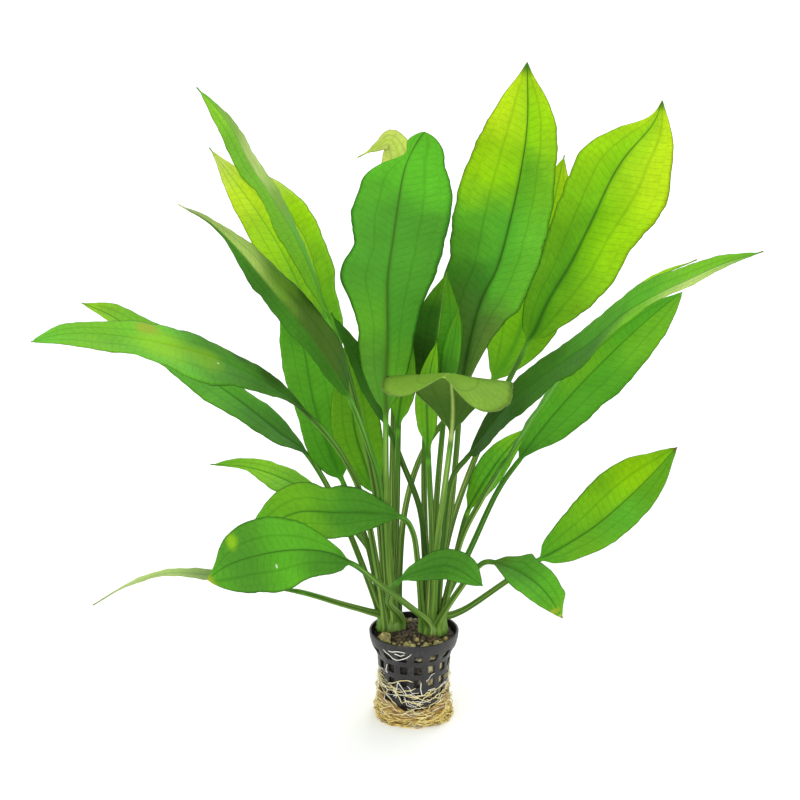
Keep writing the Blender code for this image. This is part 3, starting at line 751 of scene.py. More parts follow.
# %% Loft a leaf
def plain_mesh(name, body):
    """Turn a closed body's faces outwards, smooth them and hand it over as a plain mesh."""
    bmesh.ops.recalc_face_normals(body, faces=body.faces)
    for face in body.faces:
        face.smooth = True
    data = bpy.data.meshes.new(name)
    body.to_mesh(data)
    body.free()
    return data


def leaf_mesh(spec):
    """Build one leaf as a closed body and give its points the numbers that its finish reads."""
    rings, tip, stalk_length = leaf_rings(spec)
    body = bmesh.new()
    layers = [body.verts.layers.float.new(name)
              for name in ("along", "across", "run_mm", "half_mm", "upper")]
    uv_layer = body.loops.layers.uv.new("UVMap")
    places = {}

    def point(place, *numbers):
        vert = body.verts.new(place * MM)
        for layer, number in zip(layers, numbers):
            vert[layer] = number
        places[vert] = (numbers[1] * 0.5 + 0.5, numbers[0] * 0.5 + 0.5)
        return vert

    loops = []
    for ring in rings:
        row = leaf_row(spec, ring)
        along = ring.run / stalk_length if ring.share < 0.0 else ring.share
        top = [point(above, along, u, ring.run, ring.half, 1.0) for u, above, below in row]
        bottom = [point(below, along, u, ring.run, ring.half, 0.0) for u, above, below in row[1:-1]]
        loops.append(top + bottom[::-1])
    end = point(tip, 1.0, 0.0, rings[-1].run, 0.0, 0.5)
    count = len(loops[0])
    for a, b in zip(loops, loops[1:]):
        for k in range(count):
            n = (k + 1) % count
            body.faces.new((a[k], b[k], b[n], a[n]))
    for k in range(count):
        body.faces.new((loops[-1][k], end, loops[-1][(k + 1) % count]))
    body.faces.new(loops[0])
    for face in body.faces:
        for corner in face.loops:
            corner[uv_layer].uv = places[corner.vert]
    return plain_mesh(spec["name"] + "_grown", body)


sample = leaf_mesh(LEAVES[0])
print("one leaf has", len(sample.vertices), "points and", len(sample.polygons), "faces")
bpy.data.meshes.remove(sample)

# %% [markdown]
# ## The finish of a leaf
#
# A sword plant's leaf is told by its veins. A dark midrib runs up the middle, one strong vein
# runs beside it on each side at nearly half the width and a fainter one near the margin, and
# fine cross veins join them like the rungs of a ladder. An image could hold all this, but it
# would blur close up. We draw it from the numbers that each point carries, so a vein keeps its
# width in millimetres on the broadest and on the narrowest leaf.
#
# The colour runs from the base to the tip through a short list of greens, one list for the
# left half and one for the right, because a leaf's halves catch the light differently. Some of
# the light passes through the blade: that is the translucent part of the shader.

# %% Name the greens
GREENS = {
    "lemon": paint(196, 224, 30),
    "lime": paint(170, 218, 20),
    "yellow_green": paint(146, 206, 33),
    "fresh": paint(122, 188, 38),
    "bright": paint(100, 180, 42),
    "spring": paint(114, 194, 52),
    "emerald": paint(100, 198, 44),
    "cool": paint(82, 168, 48),
    "mid": paint(86, 154, 44),
    "grass": paint(76, 136, 40),
    "deep": paint(66, 122, 32),
    "shade": paint(58, 98, 28),
    "dark": paint(46, 78, 22),
    "olive": paint(92, 128, 46),
    "moss": paint(112, 150, 62),
    "sage": paint(134, 176, 62),
    "pale": paint(186, 208, 116),
    "straw": paint(206, 216, 158),
    "yellow": paint(210, 222, 110),
    "amber": paint(168, 180, 50),
    "brown": paint(122, 96, 40),
    "white": paint(235, 240, 215),
}


def greens(names):
    """Return the colour stops of a list of named greens, evenly spread."""
    return [(i / (len(names) - 1), GREENS[name]) for i, name in enumerate(names)]


print(len(GREENS), "named colours to mix from")

# %% [markdown]
# Every part of the finish reads the same few numbers, so we gather them once for each tree. Two
# noises join them: a slow one that shifts colours by a centimetre or two, and a fine one for the
# grain of the skin. `drift` moves every border a little, so that no two greens meet in a line.

# %% Gather the numbers of a leaf
def leaf_numbers(tree):
    """Return what every part of a leaf's finish reads, as outputs of its tree."""
    place = tree.place()
    n = SimpleNamespace(place=place, along=tree.value("along"), across=tree.value("across"),
                        run=tree.value("run_mm"), half=tree.value("half_mm"),
                        upper=tree.value("upper"), slow=tree.noise(38.0, 3.0, place),
                        fine=tree.noise(420.0, 4.0, place))
    n.out = tree.math("ABSOLUTE", n.across)
    n.side = tree.math("MULTIPLY", n.out, n.half)
    n.drift = tree.math("MULTIPLY_ADD", n.slow, 0.16, -0.08)
    n.on_blade = tree.fade(n.along, -0.02, 0.04)
    return n


print("a slow and a fine noise join the numbers of each leaf")

# %% [markdown]
# A vein is a distance turned into a line: dark where the distance is nothing, gone at its width.
# For a side vein the distance is taken from a share of the half width. For the cross veins it is
# a ping-pong of the run, which rises and falls once for every rung. They climb towards the
# margin, and start anew at each side vein and on each hand, as on a real leaf.

# %% Draw the veins
VEIN_AT = 0.46               # the strong side vein, as a share of the half width
OUTER_VEIN_AT = 0.78         # the faint one near the margin
RUNG_SPACING = 4.2           # millimetres between two cross veins
RUNG_CLIMB = 0.45            # they climb so far for each millimetre towards the margin
RUNG_BENDING = 5.0           # millimetres by which the slow noise bends them
ZONE_SHIFT = 0.37            # of a spacing, from one side vein to the next
HAND_SHIFT = 0.5             # of a spacing, between the left and the right half


def leaf_veins(tree, n):
    """Return how strongly side veins, cross veins and the finest net darken each place."""
    def line(distance, width, strength):
        return tree.fade(distance, 0.0, width, strength, 0.0)

    def side_vein(at, width, strength):
        away = tree.math("ABSOLUTE", tree.math("SUBTRACT", n.out, at))
        return line(tree.math("MULTIPLY", away, n.half), width, strength)

    zone = tree.math("ADD", tree.math("GREATER_THAN", n.out, VEIN_AT),
                     tree.math("GREATER_THAN", n.out, OUTER_VEIN_AT))
    bent = tree.math("MULTIPLY_ADD", n.slow, RUNG_BENDING, n.run)
    climb = tree.math("MULTIPLY_ADD", n.side, -RUNG_CLIMB, bent)
    step = tree.math("MULTIPLY_ADD", zone, ZONE_SHIFT, tree.math("DIVIDE", climb, RUNG_SPACING))
    right_half = tree.math("GREATER_THAN", n.across, 0.0)
    handed = tree.math("MULTIPLY_ADD", right_half, HAND_SHIFT, step)
    rung = tree.math("MULTIPLY", tree.math("PINGPONG", handed, 0.5), RUNG_SPACING)
    net = tree.node("ShaderNodeTexVoronoi", {"Scale": 620.0, "Vector": n.place},
                    feature="DISTANCE_TO_EDGE").outputs["Distance"]
    return tree.most(side_vein(VEIN_AT, 1.3, 0.46), side_vein(OUTER_VEIN_AT, 0.7, 0.2),
                     line(rung, 0.50, 0.40), line(net, 0.12, 0.12))


print("a cross vein every", RUNG_SPACING, "mm")

# %% [markdown]
# The blade is painted in layers, each over the last: the run of greens, a cooler heart along the
# midrib, the veins with painted shade beside the midrib, the midrib itself, light and dark
# patches, the margin, which is a painted highlight on the curled front leaf, then what is this
# leaf's own: spots, a hole and a dead tip.

# %% Paint the blade
HEART_TINT = (0.45, 0.82, 1.05, 1.0)
VEIN_TINT = (0.45, 0.62, 0.38, 1.0)
SPOT_SCALE = 170.0           # millimetres, the blade length that spots are measured on


def spot(tree, n, body, at_along, at_across, size_mm, colour, strength):
    """Lay one spot with an uneven border on the blade."""
    d_run = tree.math("MULTIPLY", tree.math("SUBTRACT", n.along, at_along), SPOT_SCALE)
    d_side = tree.math("MULTIPLY", tree.math("SUBTRACT", n.across, at_across), n.half)
    away = tree.math("SQRT", tree.math("ADD", tree.math("MULTIPLY", d_run, d_run),
                                       tree.math("MULTIPLY", d_side, d_side)))
    mark = tree.fade(tree.math("MULTIPLY_ADD", n.slow, 0.6 * size_mm, away),
                     0.5 * size_mm, 1.3 * size_mm, strength, 0.0)
    return tree.mix(mark, body, GREENS[colour])


def blade_greens(tree, n, left, right, heart):
    """Run the greens from base to tip, on both halves, with a cooler heart along the midrib."""
    where = tree.math("ADD", n.along, n.drift)
    body = tree.ramp(where, greens(left))
    if right:
        change = tree.fade(tree.math("ADD", n.across, n.drift), -0.12, 0.12)
        body = tree.mix(change, body, tree.ramp(where, greens(right)))
    cooler = tree.mix(1.0, body, HEART_TINT, "MULTIPLY")
    near_rib = tree.fade(tree.math("ADD", n.out, n.drift), 0.0, 0.75, heart, 0.0)
    return tree.mix(near_rib, body, cooler)


def blade_lines(tree, n, body, veins, rib, rib_width, edge):
    """Draw veins and painted shade by the midrib, the midrib, patches and margin over the greens."""
    reach = tree.fade(n.along, 0.0, 1.0, rib_width, rib_width * 0.3)
    middle = tree.fade(n.side, 0.0, reach, 0.9, 0.0)
    body = tree.mix(veins, body, tree.mix(1.0, body, VEIN_TINT, "MULTIPLY"))
    body = tree.mix(tree.math("MULTIPLY", middle, n.on_blade), body, GREENS[rib])
    mottle = tree.math("MULTIPLY_ADD", n.fine, 0.30, 0.85)
    patch = tree.math("MULTIPLY_ADD", n.slow, 0.5, 0.77)
    body = tree.mix(1.0, body, tree.math("MULTIPLY", mottle, patch), "MULTIPLY")
    # The margin line takes the leaf's edge colour; on the curled front leaf this is a painted highlight.
    margin_mm = tree.math("MULTIPLY", tree.math("SUBTRACT", 1.0, n.out), n.half)
    margin = tree.fade(margin_mm, 0.1, 0.7, 0.55, 0.0)
    return tree.mix(tree.math("MULTIPLY", margin, n.on_blade), body, GREENS[edge])


print("spots are measured on a blade", SPOT_SCALE, "mm long")

# %% [markdown]
# A stalk is keeled and ribbed lengthwise. Its sides are darkened with painted shade, and its pale
# stripes are partly pale ribs and partly painted highlights. The stripes come from a noise that is
# read with the run nearly still, so they stay long and thin however the stalk bends. Noise on the
# place itself would give it the skin of a snake.

# %% Stripe the stalk
STRIPES_ACROSS = 3.0
STRIPES_ALONG = 0.012        # for each millimetre


def stalk_colour(tree, n, stalk):
    """Run the greens up the stalk, stripe it, partly with painted highlights, and paint shade on its
    sides.
    """
    up_the_stalk = tree.math("ADD", tree.math("ADD", n.along, 1.0), n.drift)
    colour = tree.ramp(up_the_stalk, greens(stalk))
    lengthwise = tree.node("ShaderNodeCombineXYZ", {
        0: tree.math("MULTIPLY", n.across, STRIPES_ACROSS),
        1: tree.math("MULTIPLY", n.run, STRIPES_ALONG), 2: n.upper}).outputs[0]
    stripes = tree.noise(1.6, 2.0, lengthwise)
    colour = tree.mix(tree.fade(stripes, 0.54, 0.38, 0.0, 0.75), colour, GREENS["shade"])
    # Pale stripes: partly pale ribs, partly painted highlights.
    colour = tree.mix(tree.fade(stripes, 0.52, 0.70, 0.0, 0.5), colour, GREENS["pale"])
    # Painted shade darkens the stalk's sides, where its round turns away from the light.
    return tree.mix(tree.fade(n.out, 0.55, 0.92, 0.0, 0.8), colour, GREENS["dark"])


print("the stalk's stripes repeat about every", round(1.0 / (1.6 * STRIPES_ALONG)), "mm")

# %% [markdown]
# Last, the two colours meet where the stalk passes into the blade. Water plants have thin, soft
# leaves without much wax, so the gleam is weak, and part of the blade is translucent.

# %% Mix the finish of a leaf
LEAF_GLEAM = 0.09
UNDERSIDE_PALENESS = 0.12
THROUGH_TINT = (1.0, 1.0, 0.55, 1.0)


def leaf_finish(name, left, right=None, stalk=("moss", "olive", "olive", "grass"), rib="deep",
                rib_width=1.3, glow=0.30, heart=0.12, edge="shade", tip=None, spots=()):
    """Make the finish of one leaf from its lists of greens."""
    tree = Tree(name + "_green")
    n = leaf_numbers(tree)
    # The soft darkening beside the midrib is painted shade in its channel, partly the rib's own darker
    # green. It is drawn with the veins, which darken the colour and sink the relief.
    rib_channel_shade_reach = tree.fade(n.along, 0.0, 1.0, rib_width * 2.8, rib_width * 0.84)
    rib_channel_shade = tree.fade(n.side, 0.0, rib_channel_shade_reach, 0.5, 0.0)
    veins = tree.math("MULTIPLY", tree.most(rib_channel_shade, leaf_veins(tree, n)), n.on_blade)
    body = blade_greens(tree, n, left, right, heart)
    body = blade_lines(tree, n, body, veins, rib, rib_width, edge)
    for one in spots:
        body = spot(tree, n, body, *one)
    if tip:
        body = tree.mix(tree.fade(n.along, 0.95, 0.99, 0.0, 0.9), body, GREENS[tip])
    colour = tree.mix(tree.fade(n.along, -0.06, 0.03), stalk_colour(tree, n, stalk), body)
    under = tree.math("SUBTRACT", 1.0, n.upper)
    colour = tree.mix(tree.math("MULTIPLY", under, UNDERSIDE_PALENESS), colour, GREENS["sage"])

    height = tree.math("SUBTRACT", tree.math("MULTIPLY", n.fine, 0.25), veins)
    normal = tree.bump(n.slow, 0.003, 0.25, tree.bump(height, 0.0004, 0.55))
    rough = tree.math("MULTIPLY_ADD", n.fine, 0.16, 0.44)
    through = tree.node("ShaderNodeBsdfTranslucent", {
        "Color": tree.mix(1.0, colour, THROUGH_TINT, "MULTIPLY"), "Normal": normal})
    return tree.close(tree.node("ShaderNodeMixShader", {
        0: tree.math("MULTIPLY", n.on_blade, glow), 1: tree.skin(colour, rough, normal, LEAF_GLEAM),
        2: through.outputs[0]}).outputs[0])


print("a leaf gleams with a specular level of", LEAF_GLEAM)

# %% [markdown]
# ## One finish for each leaf
#
# The upper leaves are lime and yellow-green, partly their own colour and partly painted light
# that shines through them from behind, and the low ones are grass green. Folded leaves show pale
# strips: on the folded leaf at the left the pale half is painted sheen, the dark half painted
# shade. So each leaf gets its own short lists.

# %% Choose the greens
FINISHES = {
    # The lime and lemon towards the tips of the upper leaves are partly their own colour and partly
    # painted light, the glow of the lamp behind shining through them.
    "leaf_tall": dict(left=["moss", "moss", "mid", "spring", "lime", "lemon", "lemon"],
                      right=["moss", "moss", "spring", "spring", "fresh", "lime", "lemon"],
                      rib="shade", rib_width=1.7, glow=0.35, heart=0.4, tip="deep"),
    "leaf_upper_right": dict(left=["fresh", "fresh", "yellow_green", "lime", "lemon"],
                             right=["fresh", "yellow_green", "lime", "lemon", "lemon"],
                             rib="deep", rib_width=1.8, glow=0.35, heart=0.5, tip="deep"),
    "leaf_broad_front": dict(left=["mid", "bright", "cool", "cool", "cool", "emerald", "emerald"],
                             right=["mid", "mid", "bright", "cool", "cool", "emerald", "emerald"],
                             rib="shade", rib_width=2.0),
    "leaf_back_centre": dict(left=["bright", "fresh", "yellow", "yellow"], rib="lemon"),
    "leaf_upper_left": dict(left=["bright", "fresh", "fresh", "fresh", "yellow_green"],
                            right=["mid", "bright", "bright", "sage", "pale", "sage", "fresh"],
                            rib="bright", rib_width=0.8, heart=0.0),
    "leaf_left_yellow": dict(left=["bright", "yellow_green", "lime", "lemon", "yellow"],
                             rib="bright", rib_width=0.8),
    "leaf_left_back": dict(left=["bright", "fresh", "yellow_green", "lime", "yellow"],
                           rib="bright", rib_width=0.8),
    # Its dark left half is painted shade, and the pale and straw of its right half and its tip are a
    # painted sheen on the far half, which catches the light at a grazing angle.
    "leaf_left_folded": dict(left=["mid", "grass", "mid", "grass", "mid", "straw"],
                             right=["grass", "olive", "olive", "sage", "pale", "pale", "straw"],
                             rib="moss", stalk=("olive", "olive", "grass", "mid"),
                             rib_width=0.5, glow=0.45, heart=0.0, tip="straw"),
    "leaf_left_hanging": dict(left=["bright", "spring", "spring", "spring"],
                              right=["bright", "spring", "spring", "bright"], rib="mid",
                              heart=0.0),
    "leaf_far_left": dict(left=["shade", "grass", "mid", "spring", "fresh", "spring"],
                          right=["shade", "grass", "mid", "spring", "fresh", "spring"],
                          rib="mid", rib_width=0.8,
                          spots=[(0.60, 0.0, 22.0, "lime", 0.5), (0.64, 0.7, 11.0, "amber", 0.8),
                                 (0.45, -0.1, 14.0, "lime", 0.35), (0.32, 0.9, 9.0, "shade", 0.7),
                                 (0.20, 0.8, 13.0, "shade", 0.8), (0.41, -0.15, 0.8, "white", 1)]),
    "leaf_far_left_lower": dict(left=["grass", "mid", "bright", "bright", "fresh", "lime"],
                                rib="shade"),
    "leaf_low_left_back": dict(left=["bright", "fresh", "yellow_green", "fresh"]),
    "leaf_low_left": dict(left=["grass", "mid", "fresh", "bright"], rib="deep"),
    "leaf_low_left_front": dict(left=["grass", "mid", "bright", "mid", "bright"],
                                right=["mid", "bright", "bright", "mid", "bright"], tip="amber",
                                rib="shade", rib_width=0.8,
                                spots=[(0.56, -0.36, 1.7, "white", 1), (0.78, 0.7, 7.0, "lime", 0.6)]),
    "leaf_trailing": dict(left=["grass", "moss", "pale", "straw"], rib="moss"),
    # The shade at its base is painted shade on the underside that arches towards us, and its straw
    # margin is a painted highlight along its front edge.
    "leaf_curled_front": dict(left=["shade", "shade", "olive", "sage", "sage"], rib="pale",
                              rib_width=1.8, heart=0.0, edge="straw"),
    "leaf_small_front": dict(left=["mid", "grass", "mid"], rib="deep"),
    "leaf_low_right_front": dict(left=["olive", "mid", "bright", "fresh"], tip="brown",
                                 spots=[(0.9, 0.4, 6.0, "amber", 0.8), (0.97, 0.0, 4.0, "yellow", 0.8)]),
    "leaf_low_right": dict(left=["bright", "fresh", "yellow_green", "lime", "yellow_green"],
                           right=["bright", "fresh", "spring", "fresh", "fresh"],
                           rib_width=1.0, tip="brown"),
    "leaf_right_broad": dict(left=["mid", "bright", "fresh", "bright", "bright"],
                             right=["mid", "bright", "bright", "fresh", "fresh"],
                             rib_width=1.0, stalk=("sage", "grass", "grass", "mid")),
    "leaf_far_right": dict(left=["shade", "shade", "deep", "mid", "bright", "fresh", "fresh"],
                           right=["shade", "deep", "deep", "grass", "fresh", "pale", "fresh"],
                           rib="deep", stalk=("olive", "deep", "shade", "shade")),
    "leaf_right_edge": dict(left=["mid", "bright", "yellow_green", "lime"]),
    "leaf_small_right": dict(left=["fresh", "spring", "yellow_green"]),
    "leaf_back_right": dict(left=["fresh", "yellow_green", "lime", "lemon"], rib="bright"),
    "leaf_back_narrow": dict(left=["deep", "shade", "deep", "fresh"],
                             right=["mid", "bright", "bright", "fresh"], rib="pale",
                             rib_width=0.6),
    "leaf_young": dict(left=["mid", "mid", "bright", "fresh"], rib="mid"),
    "leaf_dark_narrow": dict(left=["deep", "grass", "deep", "grass"],
                             stalk=("olive", "dark", "shade", "shade")),
    "leaf_left_inner": dict(left=["bright", "fresh", "fresh", "fresh"]),
    "leaf_small_centre": dict(left=["bright", "fresh", "fresh", "bright"]),
    "leaf_small_pale": dict(left=["bright", "fresh", "fresh", "yellow_green"]),
}
print("finishes chosen for", len(FINISHES), "leaves")

# %% [markdown]
# ## Grow the leaves
#
# A finished piece sits at the origin with its place in its mesh. It rides on the plant's one
# body and takes the place of the plain solid of its own name.

# %% Grow the leaves
def piece(name, data, material, stands_for):
    """Make a finished piece of a mesh, in the place of the solids that it stands for."""
    data.materials.clear()
    data.materials.append(material)
    made = bpy.data.objects.new(name, data)
    scene.collection.objects.link(made)
    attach(made, "root")
    if stands_for:
        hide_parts(*stands_for)
    return made


for spec in LEAVES:
    finish = leaf_finish(spec["name"], **FINISHES[spec["name"]])
    grown = piece(spec["name"] + "_grown", leaf_mesh(spec), finish, [spec["name"]])
print("grew", len(LEAVES), "leaves")

# %% [markdown]
# ## A helper for geometry nodes
#
# What repeats by a rule, such as the windows of the pot, the crumbs of the medium and the roots
# that are wound round the foot, is grown with geometry nodes. The helper below writes such a
# tree with named inputs, runs it once on a base mesh and hands back a plain mesh.

# %% A helper for growing with geometry nodes
def evaluated_mesh(name, holder):
    """Return the plain mesh that an object's modifiers make, and remove the object."""
    scene.collection.objects.link(holder)
    graph = bpy.context.evaluated_depsgraph_get()
    made = bpy.data.meshes.new_from_object(holder.evaluated_get(graph))
    made.name = name
    bpy.data.objects.remove(holder, do_unlink=True)
    return made


class Growth:
    """A short way to write a geometry node tree."""

    def __init__(self, name, inputs):
        self.tree = bpy.data.node_groups.new(name, "GeometryNodeTree")
        sockets = self.tree.interface
        sockets.new_socket(name="Geometry", in_out="INPUT", socket_type="NodeSocketGeometry")
        for label, kind in inputs.items():
            sockets.new_socket(name=label, in_out="INPUT", socket_type="NodeSocket" + kind)
        sockets.new_socket(name="Geometry", in_out="OUTPUT", socket_type="NodeSocketGeometry")
        self.given = self.tree.nodes.new("NodeGroupInput").outputs
        self.result = self.tree.nodes.new("NodeGroupOutput").inputs[0]

    def node(self, kind, inputs=None, **settings):
        made = self.tree.nodes.new(kind)
        for key, value in settings.items():
            setattr(made, key, value)
        for key, value in (inputs or {}).items():
            if isinstance(value, bpy.types.NodeSocket):
                self.tree.links.new(value, made.inputs[key])
            else:
                made.inputs[key].default_value = value
        return made

    def math(self, operation, a, b=0.0):
        return self.node("ShaderNodeMath", {0: a, 1: b}, operation=operation).outputs[0]

    def vector(self, x, y, z):
        return self.node("ShaderNodeCombineXYZ", {0: x, 1: y, 2: z}).outputs[0]

    def parts(self, vector):
        return self.node("ShaderNodeSeparateXYZ", {0: vector}).outputs

    def here(self):
        return self.node("GeometryNodeInputPosition").outputs[0]

    def span(self, value, start, end, low, high):
        """Change evenly from low to high while the value goes from start to end."""
        return self.node("ShaderNodeMapRange",
                         {0: value, 1: start, 2: end, 3: low, 4: high}).outputs[0]

    def chance(self, low, high, seed, step):
        """Draw a number between low and high for each element, anew with every step."""
        given = {2: low, 3: high, 8: self.math("ADD", seed, float(step))}
        return self.node("FunctionNodeRandomValue", given, data_type="FLOAT").outputs[1]

    def scaled(self, vector, factor):
        return self.node("ShaderNodeVectorMath", {0: vector, 3: factor},
                         operation="SCALE").outputs[0]

    def stray(self, colour, reach):
        """Turn a noise's colour into a push to any side, of at most half the reach."""
        centred = self.node("ShaderNodeVectorMath", {0: colour, 1: (0.5, 0.5, 0.5)},
                            operation="SUBTRACT").outputs[0]
        return self.scaled(centred, reach)

    def move(self, geometry, position=None, offset=None):
        given = {0: geometry}
        if position is not None:
            given[2] = position
        if offset is not None:
            given[3] = offset
        return self.node("GeometryNodeSetPosition", given).outputs[0]

    def tube(self, curves, thickness, corners, thin, taper):
        """Give curves a round section that is thin at both ends and full after the taper."""
        along = self.node("GeometryNodeSplineParameter").outputs[0]
        ends = self.math("MULTIPLY", self.math("SUBTRACT", 1.0, along), along)
        full = self.math("MULTIPLY", thickness, self.span(ends, 0.0, taper, thin, 1.0))
        ring = self.node("GeometryNodeCurvePrimitiveCircle", {0: corners, 4: 1.0},
                         mode="RADIUS").outputs[0]
        return self.node("GeometryNodeCurveToMesh",
                         {0: curves, 1: ring, 2: full, 3: True}).outputs[0]

    def close(self, geometry, material):
        """End the tree with real geometry, smooth faces and its finish."""
        real = self.node("GeometryNodeRealizeInstances", {0: geometry}).outputs[0]
        smooth = self.node("GeometryNodeSetShadeSmooth", {0: real}).outputs[0]
        coloured = self.node("GeometryNodeSetMaterial", {0: smooth, 2: material}).outputs[0]
        self.tree.links.new(coloured, self.result)

    def run(self, name, base, values):
        """Grow on a base mesh with the given inputs and return the plain mesh that results."""
        holder = bpy.data.objects.new(name + "_base", base)
        modifier = holder.modifiers.new("grow", "NODES")
        modifier.node_group = self.tree
        for socket in self.tree.interface.items_tree:
            if socket.in_out == "INPUT" and socket.name in values:
                modifier[socket.identifier] = values[socket.name]
        grown = evaluated_mesh(name, holder)
        print(name, "grew", len(grown.polygons), "faces")
        return grown


def points_mesh(name, places):
    """Return a mesh of loose points, for a tree that grows something at each of them."""
    data = bpy.data.meshes.new(name)
    data.from_pydata([Vector(p) * MM for p in places], [], [])
    return data


def modified(name, data, modifiers):
    """Put modifiers on a mesh and return the plain mesh that they make."""
    holder = bpy.data.objects.new(name + "_work", data)
    for kind, settings in modifiers:
        modifier = holder.modifiers.new(kind.lower(), kind)
        for key, value in settings.items():
            setattr(modifier, key, value)
    return evaluated_mesh(name, holder)


print("helpers for growing are ready")

# %% [markdown]
# ## The net pot
#
# The pot is moulded of soft black plastic: a slightly tapered basket of square windows under a
# plain collar that widens to the rim. The windows stand in sixteen columns and five rows. A
# boolean for each window would be slow and leave long thin faces. Here a flat grid loses the
# faces of its windows by a rule, is rolled into the basket's profile, and only then gets its
# wall, so that every window has clean sides.

# %% Measure the net pot
POT_FLOOR_Z = 3.3            # millimetres, as all sizes of the pot
POT_WALL = 1.2
POT_PROFILE = [(POT_FLOOR_Z, 18.8), (40.0, 21.4), (41.5, 22.3), (43.2, 23.5), (44.8, 24.4),
               (46.4, 24.9), (49.6, 25.7), (53.0, 26.0)]
WINDOW_COLUMNS = 16
WINDOW_ROWS = 5
WINDOW_SHARE = 0.52          # of a column's width; the rest is its bar
WINDOW_PITCH = 8.35
WINDOW_HEIGHT = 4.8
WINDOW_TOP_Z = 46.4
SEAM_GAP = 0.02 * MM         # the rolled grid's two edges are joined where they meet


def pot_radius(z):
    """Return the outer radius of the pot at a height, straight between its profile's points."""
    for (low_z, low_radius), (high_z, high_radius) in zip(POT_PROFILE, POT_PROFILE[1:]):
        if z <= high_z:
            share = (z - low_z) / (high_z - low_z)
            return low_radius + (high_radius - low_radius) * share
    return POT_PROFILE[-1][1]


print("the pot is", 2 * pot_radius(POT_PROFILE[-1][0]), "mm wide at its rim")

# %% [markdown]
# The tree reads the flat grid's x as turns round the pot and its y as height. Below the floor's
# height the grid goes on inwards instead of down, and so it makes the pot's floor, with a small
# hole in the middle.

# %% Write the tree of the net pot
def pot_tree():
    """Write the tree that cuts windows in a flat grid and rolls it into a basket."""
    g = Growth("roll_net_pot", {"Columns": "Float", "Window Share": "Float",
                                "Row Pitch": "Float", "Window Height": "Float",
                                "Window Top": "Float", "Material": "Material"})
    columns, share, pitch, height, top, material = list(g.given)[1:7]
    x, y, z = g.parts(g.here())
    column = g.math("FRACT", g.math("MULTIPLY", x, columns))
    row = g.math("DIVIDE", g.math("SUBTRACT", top, y), pitch)
    in_column = g.math("LESS_THAN", column, share)
    in_row = g.math("LESS_THAN", g.math("FRACT", row), g.math("DIVIDE", height, pitch))
    below_top = g.math("GREATER_THAN", row, 0.0)
    above_foot = g.math("LESS_THAN", row, float(WINDOW_ROWS))
    window = g.math("MULTIPLY", g.math("MULTIPLY", in_column, in_row),
                    g.math("MULTIPLY", below_top, above_foot))
    cut = g.node("GeometryNodeDeleteGeometry", {0: g.given[0], 1: window}, domain="FACE")
    radius = POT_PROFILE[0][1]
    for (low_z, low_radius), (high_z, high_radius) in zip(POT_PROFILE, POT_PROFILE[1:]):
        widening = g.span(y, low_z, high_z, 0.0, high_radius - low_radius)
        radius = g.math("ADD", radius, widening)
    floor_part = g.math("MAXIMUM", g.math("SUBTRACT", POT_FLOOR_Z, y), 0.0)
    radius = g.math("SUBTRACT", radius, floor_part)
    angle = g.math("MULTIPLY", x, 2 * math.pi)
    size = g.math("MULTIPLY", radius, MM)
    rolled = g.vector(g.math("MULTIPLY", size, g.math("COSINE", angle)),
                      g.math("MULTIPLY", size, g.math("SINE", angle)),
                      g.math("MULTIPLY", g.math("MAXIMUM", y, POT_FLOOR_Z), MM))
    closed = g.node("GeometryNodeMergeByDistance",
                    {0: g.move(cut.outputs[0], rolled), 2: SEAM_GAP})
    g.close(closed.outputs[0], material)
    return g


print("the windows stand", WINDOW_PITCH, "mm apart in height")

# %% [markdown]
# Black plastic that has stood in hard water is not black all over. It is satin, clouded, and
# dusted with lime where it is scuffed.

# %% Mix the plastic
def pot_finish():
    """Mix black moulded plastic: satin, scuffed and dusted with lime from hard water."""
    tree = Tree("black_plastic")
    place = tree.place()
    cloud = tree.noise(90.0, 4.0, place)
    scuff = tree.noise(700.0, 3.0, place)
    bare = tree.ramp(cloud, [(0.3, paint(14, 13, 14)), (0.7, paint(38, 35, 38))])
    dusty = tree.mix(tree.fade(scuff, 0.55, 0.80, 0.0, 0.40), bare, paint(104, 98, 92))
    height = tree.math("MULTIPLY_ADD", scuff, 0.5, tree.math("MULTIPLY", cloud, 0.5))
    rough = tree.math("MULTIPLY_ADD", scuff, 0.3, 0.28)
    return tree.close(tree.skin(dusty, rough, tree.bump(height, 0.0003, 0.5)))


black_plastic = pot_finish()
print("mixed", black_plastic.name)

# %% [markdown]
# The grid needs a line at each border of a window, so that the rule cuts exactly there, and a
# few more between, so that the windows bend with the wall. Solidify then gives the basket its
# wall, and a small bevel takes the sharpness off, as moulding does.

# %% Roll the net pot
WINDOW_STEPS = 4             # grid steps across a window and up a window
BAR_STEPS = 3


def flat_grid(name, turns, heights):
    """Return a flat grid: x takes the turns, from 0 to 1, and y takes the heights."""
    data = bpy.data.meshes.new(name)
    points = [(x, y, 0.0) for y in heights for x in turns]
    wide = len(turns)
    faces = []
    for j in range(len(heights) - 1):
        for i in range(wide - 1):
            a = j * wide + i
            faces.append((a, a + 1, a + wide + 1, a + wide))
    data.from_pydata(points, [], faces)
    return data


